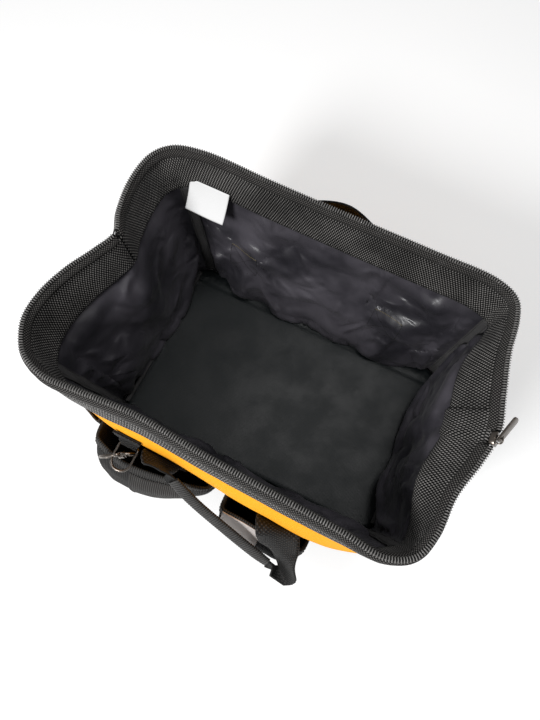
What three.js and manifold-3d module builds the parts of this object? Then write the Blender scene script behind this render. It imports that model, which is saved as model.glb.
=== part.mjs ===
// Wide-mouth fabric tool bag, standing open on its base.
// Millimetres, +Z up, +X along the bag, +Y towards its back, origin at the middle of the base's underside.

import * as THREE from 'three';
import { mergeVertices } from 'three/addons/utils/BufferGeometryUtils.js';
import Module from 'manifold-3d';

const wasm = await Module();
wasm.setup();

// Base
const BASE_LENGTH = 388;
const BASE_DEPTH = 248;
const BASE_SQUARENESS = 14;
const BASE_THICKNESS = 3;
const PAD_THICKNESS = 8;
const PAD_MARGIN = 4;
const PAD_CORNER_RADIUS = 22;
const PIPING_DIAMETER = 6;
const PIPING_LENGTH = 214;
const PIPING_INSET = 3;

// Mouth
const RIM_LENGTH = 451;
const RIM_DEPTH = 289;
const RIM_SHIFT_X = -13.5;
const RIM_SHIFT_Y = 4.5;
const RIM_HEIGHT = 250;
const COLOUR_SEAM_SHARE = 0.5;
// The mouth's two halves meet at a hinge line, this share of the way along each end
const RIGHT_HINGE_SHARE = 0.47;
const LEFT_HINGE_SHARE = 0.4;

// Fabric layers, measured outwards from the surface where the lining meets the outer fabric
const CLEARANCE = 0.3;
const SEAM_GAP = 0.6;
const CANVAS_THICKNESS = 1.8;
const LINING_THICKNESS = 1.0;
const CASING_INNER_THICKNESS = 3.2;
const CASING_OUTER_THICKNESS = 1.6;
const CASING_INNER_DROP = 48;
const CASING_OUTER_DROP = 32;
const CASING_TOP_THICKNESS = 2.2;
const CASING_GAP = 1.2;

// How far each wall bellies out (or, negative, sags in) at the middle of its side
const FRONT_BELLY = 26;
const RIGHT_BELLY = -24;
const BACK_BELLY = 5;
const LEFT_BELLY = -6;
const FRONT_BELLY_SKEW = 0.35;
const LINING_FOLD_DEPTH = 9;

// Zip
const ZIP_TAPE_HEIGHT = 4.5;
const ZIP_TAPE_THICKNESS = 1.2;
const ZIP_COIL_DIAMETER = 4.4;
const SLIDER_LENGTH = 13;
const SLIDER_WIDTH = 11;
const SLIDER_THICKNESS = 5;
const SLIDER_TILT = 38;
const BAIL_HEIGHT = 4.2;
const BAIL_WIRE = 1.6;
const BAIL_LENGTH = 6.4;
const PULL_LENGTH = 26;
const PULL_WIDTH = 10;
const PULL_THICKNESS = 1.8;
const PULL_REST_ANGLE = 18;

// Inside trim
const BINDING_WIDTH = 13;
const BINDING_THICKNESS = 2;
const BINDING_GAP = 0.9;
const BINDING_FOOT_HEIGHT = 16;
const LABEL_WIDTH = 48;
const LABEL_LENGTH = 38;
const LABEL_THICKNESS = 0.8;
const LABEL_TILT = 42;
const LABEL_X = -160;

// Pockets
const POCKET_WALL = 2;
const POCKET_FOOT_HEIGHT = 9;
const LEFT_POCKET_X = -152;
const LEFT_POCKET_WIDTH = 139;
const LEFT_POCKET_DEPTH = 56;
const LEFT_POCKET_HEIGHT = 148;
const RIGHT_POCKET_X = 6;
const RIGHT_POCKET_WIDTH = 98;
const RIGHT_POCKET_DEPTH = 44;
const RIGHT_POCKET_HEIGHT = 146;
const CORNER_POCKET_X = -188;
const CORNER_POCKET_WIDTH = 33;
const CORNER_POCKET_DEPTH = 15;
const CORNER_POCKET_HEIGHT = 150;
const POCKET_BINDING_WIDTH = 7;
const POCKET_BINDING_THICKNESS = 1.1;
const POCKET_BAND_THICKNESS = 1.2;
const POCKET_BAND_X = -100;
const POCKET_BAND_WIDTH = 64;
const POCKET_GAP = 0.8;
const PATCH_WIDTH = 46;
const PATCH_HEIGHT = 30;
const PATCH_EDGE = 5;
const PATCH_THICKNESS = 1.2;

// Handles
const HANDLE_WEBBING_WIDTH = 46;
const HANDLE_WEBBING_THICKNESS = 2.2;
const HANDLE_GRIP_WIDTH = 19;
const HANDLE_GRIP_THICKNESS = 6;
const FRONT_LEG_LEFT_X = -69;
const FRONT_LEG_RIGHT_X = 68;
const FRONT_LEG_HEIGHT = 60;
const FRONT_LEG_TOP_GAP = 40;
const FRONT_LOOP_REACH = 34;
const FRONT_LOOP_DROP = 30;
const BACK_LEG_LEFT_X = -105;
const BACK_LEG_RIGHT_X = 85;
const BACK_LEG_FOOT = 8;
const BACK_LEG_TOP_GAP = 28;
const BACK_LOOP_RISE = 54;
const BACK_LOOP_REACH = 38;

// Ring and snap hook
const TAB_X = -109;
const TAB_TOP_WIDTH = 32;
const TAB_RING_WIDTH = 16;
const TAB_LENGTH = 26;
const TAB_PLY = 1.5;
const TAB_TOP_GAP = 22;
const RING_WIRE = 3.4;
const RING_INNER_WIDTH = 18;
const RING_DEPTH = 29;
const HOOK_WIRE = 3.2;
const HOOK_CLAW_LENGTH = 24;
const HOOK_CLAW_WIDTH = 11;
const HOOK_EYE_WIRE = 2.6;
const HOOK_EYE_WIDTH = 9;
const HOOK_EYE_LENGTH = 7;
const HOOK_STEM_DIAMETER = 3;
const HOOK_COLLAR_DIAMETER = 7;
const HOOK_COLLAR_LENGTH = 4;
const HOOK_TURN = 28;
const HOOK_TILT = 28;
const HOOK_CATCH = 6;
const HOOK_HANG_GAP = 1.1;
const RING_CATCH = 18;
const RUNNING_CLEARANCE = 0.35;

// Rim outline as shares of half the rim's length and depth about its middle, a row for each bend.
// Each side runs from the corner seam that it starts at to the row before the next corner seam.
const RIM_ROWS = {
  front: [
    { x: -0.911, y: -0.882 }, { x: -0.796, y: -0.952 }, { x: -0.610, y: -0.938 }, { x: -0.361, y: -0.910 },
    { x: -0.055, y: -0.938 }, { x: 0.264, y: -0.958 }, { x: 0.590, y: -0.979 }, { x: 0.770, y: -1.000 },
  ],
  right: [
    { x: 0.867, y: -0.924 }, { x: 0.914, y: -0.751 }, { x: 0.929, y: -0.481 }, { x: 0.975, y: -0.225 },
    { x: 1.000, y: 0.003 }, { x: 0.969, y: 0.232 }, { x: 0.925, y: 0.529 }, { x: 0.904, y: 0.772 },
  ],
  back: [
    { x: 0.867, y: 0.912 }, { x: 0.769, y: 0.981 }, { x: 0.481, y: 0.986 }, { x: 0.070, y: 0.982 },
    { x: -0.344, y: 0.982 }, { x: -0.694, y: 0.986 },
  ],
  left: [
    { x: -0.840, y: 0.924 }, { x: -0.906, y: 0.799 }, { x: -0.925, y: 0.557 }, { x: -0.892, y: 0.290 },
    { x: -0.849, y: 0.135 }, { x: -0.890, y: -0.040 }, { x: -0.955, y: -0.253 }, { x: -0.996, y: -0.481 },
    { x: -0.996, y: -0.668 }, { x: -0.965, y: -0.779 },
  ],
};
const SIDES = ['front', 'right', 'back', 'left'];
const BELLY = { front: FRONT_BELLY, right: RIGHT_BELLY, back: BACK_BELLY, left: LEFT_BELLY };
const OUTWARD = { front: [0, -1], right: [1, 0], back: [0, 1], left: [-1, 0] };

// Wall profile by share of the wall's height: lean is the way gone from the base outline to the rim
// outline, and the other columns are the share of each side's belly.
const PROFILE_ROWS = [
  { height: 0.00, lean: 0.00, front: 0.00, right: 0.00, back: 0.00, left: 0.00 },
  { height: 0.12, lean: 0.05, front: 0.34, right: 0.22, back: 0.40, left: 0.50 },
  { height: 0.30, lean: 0.18, front: 0.76, right: 0.55, back: 0.90, left: 1.00 },
  { height: 0.50, lean: 0.38, front: 1.00, right: 0.80, back: 1.00, left: 0.80 },
  { height: 0.66, lean: 0.58, front: 0.96, right: 0.98, back: 0.50, left: 0.40 },
  { height: 0.77, lean: 0.72, front: 0.70, right: 1.00, back: 0.10, left: 0.20 },
  { height: 0.90, lean: 0.90, front: 0.25, right: 0.45, back: 0.00, left: 0.05 },
  { height: 1.00, lean: 1.00, front: 0.00, right: 0.00, back: 0.00, left: 0.00 },
];
const WALL_FOOT = BASE_THICKNESS + CLEARANCE;
const wallTop = RIM_HEIGHT - ZIP_COIL_DIAMETER - ZIP_TAPE_HEIGHT - CASING_TOP_THICKNESS - 3 * CLEARANCE;
const casingOuterFoot = wallTop - CASING_OUTER_DROP;

// Main folds of the loose lining: where each lies on its side, how long and wide it is, and how deep.
const FOLD_ROWS = [
  { side: 'back', along: 0.20, height: 0.52, turn: 62, length: 0.30, width: 0.055, depth: 0.7 },
  { side: 'back', along: 0.34, height: 0.40, turn: 28, length: 0.26, width: 0.060, depth: 0.8 },
  { side: 'back', along: 0.52, height: 0.30, turn: -20, length: 0.34, width: 0.060, depth: 0.7 },
  { side: 'back', along: 0.70, height: 0.46, turn: 35, length: 0.24, width: 0.055, depth: 0.6 },
  { side: 'back', along: 0.50, height: 0.10, turn: 0, length: 0.60, width: 0.080, depth: 1.0 },
  { side: 'left', along: 0.46, height: 0.45, turn: 78, length: 0.34, width: 0.070, depth: 1.0 },
  { side: 'left', along: 0.72, height: 0.30, turn: -38, length: 0.28, width: 0.080, depth: 0.8 },
  { side: 'right', along: 0.55, height: 0.40, turn: 80, length: 0.34, width: 0.070, depth: 0.9 },
  { side: 'right', along: 0.30, height: 0.25, turn: 20, length: 0.30, width: 0.080, depth: 0.6 },
  { side: 'front', along: 0.35, height: 0.40, turn: 15, length: 0.34, width: 0.070, depth: 0.6 },
  { side: 'front', along: 0.70, height: 0.28, turn: -25, length: 0.30, width: 0.070, depth: 0.6 },
];

// Seen from above: the way round a pocket's face from its left edge to its right edge
const LEFT_POCKET_PLAN = [
  { across: 0.000, out: 0.00 }, { across: 0.004, out: 0.45 }, { across: 0.020, out: 0.80 },
  { across: 0.090, out: 0.95 }, { across: 0.200, out: 0.985 }, { across: 0.300, out: 1.00 },
  { across: 0.420, out: 1.00 }, { across: 0.520, out: 1.00 }, { across: 0.630, out: 0.96 },
  { across: 0.720, out: 0.90 }, { across: 0.810, out: 0.79 }, { across: 0.880, out: 0.66 },
  { across: 0.940, out: 0.50 }, { across: 0.980, out: 0.30 }, { across: 1.000, out: 0.00 },
];
const RIGHT_POCKET_PLAN = [
  { across: 0.000, out: 0.00 }, { across: 0.004, out: 0.60 }, { across: 0.040, out: 0.95 },
  { across: 0.140, out: 0.99 }, { across: 0.250, out: 1.00 }, { across: 0.370, out: 1.00 },
  { across: 0.500, out: 1.00 }, { across: 0.630, out: 1.00 }, { across: 0.750, out: 1.00 },
  { across: 0.860, out: 0.99 }, { across: 0.960, out: 0.95 }, { across: 0.996, out: 0.60 },
  { across: 1.000, out: 0.00 },
];
// A pocket's swell by share of its height
const LEFT_POCKET_SWELL = [
  { height: 0.00, out: 0.62 }, { height: 0.18, out: 0.90 }, { height: 0.48, out: 1.00 },
  { height: 0.80, out: 0.96 }, { height: 1.00, out: 0.80 },
];
const RIGHT_POCKET_SWELL = [
  { height: 0.00, out: 0.70 }, { height: 0.18, out: 0.92 }, { height: 0.48, out: 1.00 },
  { height: 0.80, out: 0.84 }, { height: 1.00, out: 0.36 },
];

const MATERIALS = {
  black_canvas: { color: 0x1b1b1c, roughness: 0.9, metalness: 0 },
  orange_canvas: { color: 0xffa51e, roughness: 0.85, metalness: 0 },
  grey_canvas: { color: 0x4b4947, roughness: 0.9, metalness: 0 },
  lining: { color: 0x2d2d33, roughness: 0.5, metalness: 0 },
  pad: { color: 0x14191a, roughness: 0.85, metalness: 0 },
  webbing: { color: 0x1e1d1c, roughness: 0.85, metalness: 0 },
  zip_tape: { color: 0x222222, roughness: 0.85, metalness: 0 },
  zip_coil: { color: 0x161616, roughness: 0.45, metalness: 0 },
  label: { color: 0xf2f2f2, roughness: 0.8, metalness: 0 },
  patch: { color: 0xb5aca8, roughness: 0.6, metalness: 0 },
  gunmetal: { color: 0x5a5550, roughness: 0.3, metalness: 1 },
};

function closedGeometry(points, triangles) {
  const soup = new THREE.BufferGeometry();
  soup.setAttribute('position', new THREE.Float32BufferAttribute(points.flatMap((p) => [p.x, p.y, p.z]), 3));
  soup.setIndex(triangles);
  const merged = mergeVertices(soup, 1e-4);
  const index = merged.index.array;
  const kept = [];
  for (let i = 0; i < index.length; i += 3) {
    const [a, b, c] = [index[i], index[i + 1], index[i + 2]];
    if (a !== b && b !== c && c !== a) {
      kept.push(a, b, c);
    }
  }
  merged.setIndex(kept);
  merged.computeVertexNormals();
  return merged;
}

// Closed sheet between two matching grids of points, grid[column][row]; front faces away from back
function sheetGeometry(front, back) {
  const columns = front.length;
  const rows = front[0].length;
  const points = [...front.flat(), ...back.flat()];
  const triangles = [];
  const at = (side, i, j) => side * columns * rows + i * rows + j;
  const quad = (a, b, c, d) => triangles.push(a, b, c, a, c, d);
  for (let i = 0; i + 1 < columns; i += 1) {
    for (let j = 0; j + 1 < rows; j += 1) {
      quad(at(0, i, j), at(0, i + 1, j), at(0, i + 1, j + 1), at(0, i, j + 1));
      quad(at(1, i, j), at(1, i, j + 1), at(1, i + 1, j + 1), at(1, i + 1, j));
    }
    quad(at(1, i, 0), at(1, i + 1, 0), at(0, i + 1, 0), at(0, i, 0));
    quad(at(0, i, rows - 1), at(0, i + 1, rows - 1), at(1, i + 1, rows - 1), at(1, i, rows - 1));
  }
  for (let j = 0; j + 1 < rows; j += 1) {
    quad(at(0, 0, j), at(0, 0, j + 1), at(1, 0, j + 1), at(1, 0, j));
    quad(at(1, columns - 1, j), at(1, columns - 1, j + 1), at(0, columns - 1, j + 1), at(0, columns - 1, j));
  }
  return closedGeometry(points, triangles);
}

// Closed body through matching rings of points, capped by the triangles of the flat section.
// Between two rings each face is split from its lower corner to the next ring's upper corner.
function loftGeometry(rings, section) {
  const count = section.length;
  const caps = THREE.ShapeUtils.triangulateShape(section, []);
  const triangles = [];
  for (let i = 0; i + 1 < rings.length; i += 1) {
    for (let j = 0; j < count; j += 1) {
      const a = i * count + j;
      const b = i * count + ((j + 1) % count);
      if (section[j].y <= section[(j + 1) % count].y) {
        triangles.push(a, b, b + count, a, b + count, a + count);
      } else {
        triangles.push(a, b, a + count, b, b + count, a + count);
      }
    }
  }
  const last = (rings.length - 1) * count;
  for (const [a, b, c] of caps) {
    triangles.push(c, b, a);
    triangles.push(last + a, last + b, last + c);
  }
  return closedGeometry(rings.flat(), triangles);
}

function toManifold(geometry) {
  const bare = geometry.clone();
  bare.deleteAttribute('normal');
  bare.deleteAttribute('uv');
  const merged = mergeVertices(bare, 1e-4);
  const vertProperties = new Float32Array(merged.attributes.position.array);
  const triVerts = merged.index
    ? new Uint32Array(merged.index.array)
    : new Uint32Array([...Array(merged.attributes.position.count).keys()]);
  return new wasm.Manifold(new wasm.Mesh({ numProp: 3, vertProperties, triVerts }));
}

function fromManifold(solid) {
  const { vertProperties, triVerts } = solid.getMesh();
  const geometry = new THREE.BufferGeometry();
  geometry.setAttribute('position', new THREE.Float32BufferAttribute([...vertProperties], 3));
  geometry.setIndex([...triVerts]);
  geometry.computeVertexNormals();
  return geometry;
}

function makeMesh(name, geometry, finish) {
  const mesh = new THREE.Mesh(geometry, new THREE.MeshStandardMaterial(MATERIALS[finish]));
  mesh.name = name;
  return mesh;
}

function interpolate(rows, key, column, value) {
  const upper = Math.max(1, rows.findIndex((row) => row[key] >= value - 1e-9));
  const [low, high] = [rows[upper - 1], rows[upper]];
  const share = (value - low[key]) / (high[key] - low[key]);
  return low[column] + (high[column] - low[column]) * share;
}

const smooth = (low, high, value) => THREE.MathUtils.smoothstep(value, low, high);
const heightOf = (share) => WALL_FOOT + (RIM_HEIGHT - WALL_FOOT) * share;

// Rim and base outlines: two closed curves whose rows answer each other
const rimRows = SIDES.flatMap((side) => RIM_ROWS[side]);
const firstRow = {};
SIDES.reduce((count, side) => {
  firstRow[side] = count;
  return count + RIM_ROWS[side].length;
}, 0);

function rimPoint({ x, y }) {
  return new THREE.Vector3(RIM_SHIFT_X + (x * RIM_LENGTH) / 2, RIM_SHIFT_Y + (y * RIM_DEPTH) / 2, 0);
}

function basePoint({ x, y }, inset = 0) {
  const reach = (Math.abs(x) ** BASE_SQUARENESS + Math.abs(y) ** BASE_SQUARENESS) ** (1 / BASE_SQUARENESS);
  return new THREE.Vector3((x / reach) * (BASE_LENGTH / 2 - inset), (y / reach) * (BASE_DEPTH / 2 - inset), 0);
}

const rimCurve = new THREE.CatmullRomCurve3(rimRows.map(rimPoint), true, 'centripetal');
const baseCurve = new THREE.CatmullRomCurve3(rimRows.map((row) => basePoint(row)), true, 'centripetal');

// A place round the bag is side + share: 0 front, 1 right, 2 back, 3 left, each from 0 to 1
function curveParameter(place) {
  const side = SIDES[Math.floor(place) % 4];
  const share = place - Math.floor(place);
  return (firstRow[side] + share * RIM_ROWS[side].length) / rimRows.length;
}

function smoothWallPoint(place, row) {
  const parameter = curveParameter(place);
  const low = baseCurve.getPoint(parameter);
  const high = rimCurve.getPoint(parameter);
  const side = SIDES[Math.floor(place) % 4];
  const share = place - Math.floor(place);
  const plateau = smooth(0, 0.35, share) * smooth(0, 0.35, 1 - share);
  const skew = side === 'front' ? 1 + FRONT_BELLY_SKEW * (2 * share - 1) : 1;
  const belly = BELLY[side] * row[side] * plateau * skew;
  const point = low.lerp(high, row.lean);
  point.x += OUTWARD[side][0] * belly;
  point.y += OUTWARD[side][1] * belly;
  point.z = heightOf(row.height);
  return point;
}

const columnPlaces = SIDES.flatMap((side, number) => {
  const steps = RIM_ROWS[side].length * 2;
  return Array.from({ length: steps }, (_, step) => number + step / steps);
});
const TURN_STEP = 1e-3;
const wrapPlace = (place) => ((place % 4) + 4) % 4;

const wallNodes = columnPlaces.map((place) => PROFILE_ROWS.map((row) => {
  const point = smoothWallPoint(place, row);
  const ahead = smoothWallPoint(wrapPlace(place + TURN_STEP), row);
  const behind = smoothWallPoint(wrapPlace(place - TURN_STEP), row);
  const along = ahead.sub(behind).normalize();
  return { point, outward: new THREE.Vector3(along.y, -along.x, 0) };
}));

// A point of the faceted wall, pushed outwards by a distance
function wallPoint(place, z, distance) {
  const wrapped = wrapPlace(place);
  const columns = columnPlaces.length;
  let column = columnPlaces.findLastIndex((start) => start <= wrapped + 1e-9);
  const next = (column + 1) % columns;
  const nextPlace = next === 0 ? 4 : columnPlaces[next];
  const alongShare = (wrapped - columnPlaces[column]) / (nextPlace - columnPlaces[column]);
  const heightShare = (z - WALL_FOOT) / (RIM_HEIGHT - WALL_FOOT);
  const upper = Math.max(1, PROFILE_ROWS.findIndex((row) => row.height >= heightShare - 1e-9));
  const [low, high] = [PROFILE_ROWS[upper - 1].height, PROFILE_ROWS[upper].height];
  const upShare = (heightShare - low) / (high - low);
  const corner = (i, j) => wallNodes[i][j].point.clone().addScaledVector(wallNodes[i][j].outward, distance);
  const [foot, top] = [corner(column, upper - 1), corner(next, upper)];
  const beside = alongShare >= upShare ? corner(next, upper - 1) : corner(column, upper);
  if (alongShare >= upShare) {
    return foot.clone().addScaledVector(beside.clone().sub(foot), alongShare)
      .addScaledVector(top.sub(beside), upShare);
  }
  return foot.clone().addScaledVector(beside.clone().sub(foot), upShare)
    .addScaledVector(top.sub(beside), alongShare);
}

function placesBetween(start, end) {
  const inner = [-4, 0, 4].flatMap((turn) => columnPlaces.map((place) => place + turn));
  return [start, ...inner.filter((place) => place > start + 0.012 && place < end - 0.012), end];
}

function heightsBetween(start, end, extra = []) {
  const inner = [...PROFILE_ROWS.map((row) => heightOf(row.height)), ...extra].sort((a, b) => a - b);
  const spaced = inner.filter((z, i) => i === 0 || z > inner[i - 1] + 1);
  return [start, ...spaced.filter((z) => z > start + 1 && z < end - 1), end];
}

// Millimetres of wall for each whole place, just before (-1) or after (1) a place
function wallSpeed(place, way) {
  return Math.min(...[WALL_FOOT, RIM_HEIGHT].map((z) => (
    wallPoint(place, z, 0).distanceTo(wallPoint(place + way * TURN_STEP, z, 0)) / TURN_STEP
  )));
}

// The share of a side that a distance takes up beside its corner seam
function seamShare(place, distance) {
  return distance / Math.min(wallSpeed(place, -1), wallSpeed(place, 1));
}

function foldDepth(side, share, heightShare) {
  let depth = 0;
  for (const fold of FOLD_ROWS.filter((row) => row.side === side)) {
    const turn = THREE.MathUtils.degToRad(fold.turn);
    const [dx, dy] = [share - fold.along, heightShare - fold.height];
    const along = dx * Math.cos(turn) + dy * Math.sin(turn);
    const across = dy * Math.cos(turn) - dx * Math.sin(turn);
    depth += fold.depth * Math.exp(-((along / fold.length) ** 2) - (across / fold.width) ** 2);
  }
  const casingFoot = (wallTop - CASING_INNER_DROP - WALL_FOOT) / (RIM_HEIGHT - WALL_FOOT);
  const edge = smooth(0.12, 0.26, share) * smooth(0.12, 0.26, 1 - share)
    * smooth(0.012, 0.1, casingFoot - heightShare);
  return LINING_FOLD_DEPTH * Math.min(1, depth) * edge;
}

function wallSheet(start, end, heights, inner, outer, fold = () => 0) {
  const places = placesBetween(start, end);
  const grid = (distance) => places.map((place) => heights.map((z) => (
    wallPoint(place, z, distance - fold(place, z))
  )));
  return sheetGeometry(grid(outer), grid(inner));
}

function makeOuterFabric() {
  const meshes = [];
  const [inner, outer] = [CLEARANCE / 2, CLEARANCE / 2 + CANVAS_THICKNESS];
  const colourSeam = heightOf(COLOUR_SEAM_SHARE);
  const bands = {
    lower: [WALL_FOOT, colourSeam],
    upper: [colourSeam + CLEARANCE, wallTop],
    whole: [WALL_FOOT, wallTop],
  };
  const panels = [
    { name: 'front_panel_lower', side: 0, band: 'lower', finish: 'black_canvas' },
    { name: 'front_panel_upper', side: 0, band: 'upper', finish: 'orange_canvas' },
    { name: 'right_end_panel', side: 1, band: 'whole', finish: 'black_canvas' },
    { name: 'back_panel_lower', side: 2, band: 'lower', finish: 'black_canvas' },
    { name: 'back_panel_upper', side: 2, band: 'upper', finish: 'orange_canvas' },
    { name: 'left_end_panel', side: 3, band: 'whole', finish: 'black_canvas' },
  ];
  for (const { name, side, band, finish } of panels) {
    const start = side + seamShare(side, SEAM_GAP / 2);
    const end = side + 1 - seamShare(side + 1, SEAM_GAP / 2);
    const [foot, top] = bands[band];
    meshes.push(makeMesh(name, wallSheet(start, end, heightsBetween(foot, top), inner, outer), finish));
  }
  return meshes;
}

function makeLining() {
  const outer = -CLEARANCE / 2;
  const inner = outer - LINING_THICKNESS;
  const underCasing = wallTop - CASING_INNER_DROP - 2;
  const heights = heightsBetween(WALL_FOOT, wallTop, [underCasing]);
  return SIDES.map((side, number) => {
    const start = number + seamShare(number, SEAM_GAP / 2);
    const end = number + 1 - seamShare(number + 1, SEAM_GAP / 2);
    const fold = (place, z) => foldDepth(side, place - number, (z - WALL_FOOT) / (RIM_HEIGHT - WALL_FOOT));
    const geometry = wallSheet(start, end, heights, inner, outer, fold);
    return makeMesh(`${side}_lining`, geometry, 'lining');
  });
}

function makeBindings() {
  const outer = -CLEARANCE / 2 - LINING_THICKNESS - BINDING_GAP;
  const inner = outer - BINDING_THICKNESS;
  const names = ['front_left', 'front_right', 'back_right', 'back_left'];
  return names.map((name, corner) => {
    const start = corner - BINDING_WIDTH / 2 / wallSpeed(corner, -1);
    const end = corner + BINDING_WIDTH / 2 / wallSpeed(corner, 1);
    const top = wallTop - CASING_INNER_DROP - CLEARANCE;
    const heights = heightsBetween(BINDING_FOOT_HEIGHT, top);
    const places = [start, corner, end];
    const grid = (distance) => places.map((place) => heights.map((z) => wallPoint(place, z, distance)));
    return makeMesh(`seam_binding_${name}`, sheetGeometry(grid(outer), grid(inner)), 'webbing');
  });
}

// The two halves of the mouth meet at the hinge line on each end
const rightHinge = 1 + RIGHT_HINGE_SHARE;
const leftHinge = 3 + LEFT_HINGE_SHARE;
const MOUTH_HALVES = [
  { name: 'front', start: leftHinge - 4, end: rightHinge },
  { name: 'back', start: rightHinge, end: leftHinge },
];

function sweepRound(start, end, section) {
  const ordered = [...section].reverse();
  const rings = placesBetween(start, end).map((place) => (
    ordered.map(([distance, z]) => wallPoint(place, z, distance))
  ));
  const flat = ordered.map(([distance, z]) => new THREE.Vector2(-distance, z));
  return loftGeometry(rings, flat);
}

// Webbing sleeve: an upside-down U over the top edge of the walls
function casingSection() {
  const inside = -CLEARANCE / 2 - LINING_THICKNESS - CLEARANCE;
  const outside = CLEARANCE / 2 + CANVAS_THICKNESS + CASING_GAP;
  const profileHeights = PROFILE_ROWS.map((row) => heightOf(row.height));
  const kinks = profileHeights.filter((z) => z > wallTop - CASING_INNER_DROP && z < wallTop);
  const outerKinks = kinks.filter((z) => z > casingOuterFoot);
  const top = wallTop + CLEARANCE;
  const column = (distance, heights) => heights.map((z) => [distance, z]);
  const innerFoot = wallTop - CASING_INNER_DROP;
    return [
    ...column(inside - CASING_INNER_THICKNESS, [top + CASING_TOP_THICKNESS, ...[...kinks].reverse(), innerFoot]),
    ...column(inside, [innerFoot, ...kinks, top]),
    ...column(outside, [top, ...[...outerKinks].reverse(), casingOuterFoot]),
    ...column(outside + CASING_OUTER_THICKNESS, [casingOuterFoot, ...outerKinks, top + CASING_TOP_THICKNESS]),
  ];
}

function makeMouth() {
  const tapeFoot = wallTop + CASING_TOP_THICKNESS + 2 * CLEARANCE;
  const coilRadius = ZIP_COIL_DIAMETER / 2;
  const coilMiddle = RIM_HEIGHT - coilRadius;
  const tapeTop = coilMiddle - coilRadius - CLEARANCE;
  const half = ZIP_TAPE_THICKNESS / 2;
  const tapeSection = [[-half, tapeTop], [-half, tapeFoot], [half, tapeFoot], [half, tapeTop]];
  const coilSection = Array.from({ length: 6 }, (_, step) => {
    const angle = Math.PI / 2 + (step / 6) * 2 * Math.PI;
    return [coilRadius * Math.cos(angle), coilMiddle + coilRadius * Math.sin(angle)];
  });
  const pieces = [
    { part: 'casing', section: casingSection(), finish: 'webbing' },
    { part: 'zip_tape', section: tapeSection, finish: 'zip_tape' },
    { part: 'zip_teeth', section: coilSection, finish: 'zip_coil' },
  ];
  return pieces.flatMap(({ part, section, finish }) => MOUTH_HALVES.map(({ name, start, end }) => {
    const sliderGap = part === 'casing' ? SEAM_GAP : SLIDER_LENGTH / 2 + CLEARANCE;
    const rightShare = seamShare(rightHinge, sliderGap);
    const leftShare = seamShare(leftHinge, SEAM_GAP);
    const [first, last] = name === 'front' ? [leftShare, rightShare] : [rightShare, leftShare];
    return makeMesh(`${name}_${part}`, sweepRound(start + first, end - last, section), finish);
  }));
}

function slab(points, foot, thickness) {
  const geometry = new THREE.ExtrudeGeometry(new THREE.Shape(points), { depth: thickness, bevelEnabled: false });
  geometry.translate(0, 0, foot);
  return geometry;
}

// The walls' foot outline, pushed outwards by a distance
function footOutline(distance) {
  return rimRows.map((row) => {
    const { x, y } = basePoint(row, -distance);
    return new THREE.Vector2(x, y);
  });
}

function roundedRectangle(halfLength, halfDepth, radius, stepsPerCorner) {
  const corners = [[1, -1], [1, 1], [-1, 1], [-1, -1]];
  return corners.flatMap(([x, y], corner) => Array.from({ length: stepsPerCorner + 1 }, (_, step) => {
    const angle = ((corner - 1 + step / stepsPerCorner) * Math.PI) / 2;
    return new THREE.Vector2(
      x * (halfLength - radius) + radius * Math.cos(angle),
      y * (halfDepth - radius) + radius * Math.sin(angle),
    );
  }));
}

function makeBase() {
  const padInset = LINING_THICKNESS + PAD_MARGIN;
  const padOutline = roundedRectangle(BASE_LENGTH / 2 - padInset, BASE_DEPTH / 2 - padInset, PAD_CORNER_RADIUS, 4);
  const meshes = [
    makeMesh('base_panel', slab(footOutline(CLEARANCE + CANVAS_THICKNESS), 0, BASE_THICKNESS), 'black_canvas'),
    makeMesh('base_pad', slab(padOutline, WALL_FOOT, PAD_THICKNESS), 'pad'),
  ];
  const radius = PIPING_DIAMETER / 2;
  const pipingX = BASE_LENGTH / 2 - padInset - radius - PIPING_INSET;
  const pipingZ = WALL_FOOT + PAD_THICKNESS + CLEARANCE + radius;
  for (const [name, direction] of [['left', -1], ['right', 1]]) {
    const geometry = new THREE.CylinderGeometry(radius, radius, PIPING_LENGTH, 8);
    const mesh = makeMesh(`base_piping_${name}`, geometry, 'pad');
    mesh.position.set(direction * pipingX, 0, pipingZ);
    meshes.push(mesh);
  }
  return meshes;
}

// Where a line straight out from a long side meets the outer fabric
function panelPlace(sideNumber, x, z) {
  let [low, high] = [sideNumber + 0.001, sideNumber + 0.999];
  const rising = wallPoint(high, z, 0).x > wallPoint(low, z, 0).x;
  for (let step = 0; step < 40; step += 1) {
    const middle = (low + high) / 2;
    if ((wallPoint(middle, z, 0).x < x) === rising) {
      low = middle;
    } else {
      high = middle;
    }
  }
  return low;
}

function panelY(sideNumber, x, z) {
  return wallPoint(panelPlace(sideNumber, x, z), z, CLEARANCE / 2 + CANVAS_THICKNESS).y;
}

// A place on a pocket's plan, as its row number plus the share of the way to the next row
function planPoint(plan, step) {
  const row = Math.min(Math.floor(step), plan.length - 2);
  const share = step - row;
  const mix = (key) => plan[row][key] + (plan[row + 1][key] - plan[row][key]) * share;
  return { across: mix('across'), out: mix('out') };
}

const POCKETS = {
  left: {
    x: LEFT_POCKET_X, width: LEFT_POCKET_WIDTH, depth: LEFT_POCKET_DEPTH, height: LEFT_POCKET_HEIGHT,
    plan: LEFT_POCKET_PLAN, swell: LEFT_POCKET_SWELL,
  },
  right: {
    x: RIGHT_POCKET_X, width: RIGHT_POCKET_WIDTH, depth: RIGHT_POCKET_DEPTH, height: RIGHT_POCKET_HEIGHT,
    plan: RIGHT_POCKET_PLAN, swell: RIGHT_POCKET_SWELL,
  },
  corner: {
    x: CORNER_POCKET_X, width: CORNER_POCKET_WIDTH, depth: CORNER_POCKET_DEPTH, height: CORNER_POCKET_HEIGHT,
    plan: RIGHT_POCKET_PLAN, swell: LEFT_POCKET_SWELL,
  },
};

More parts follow.
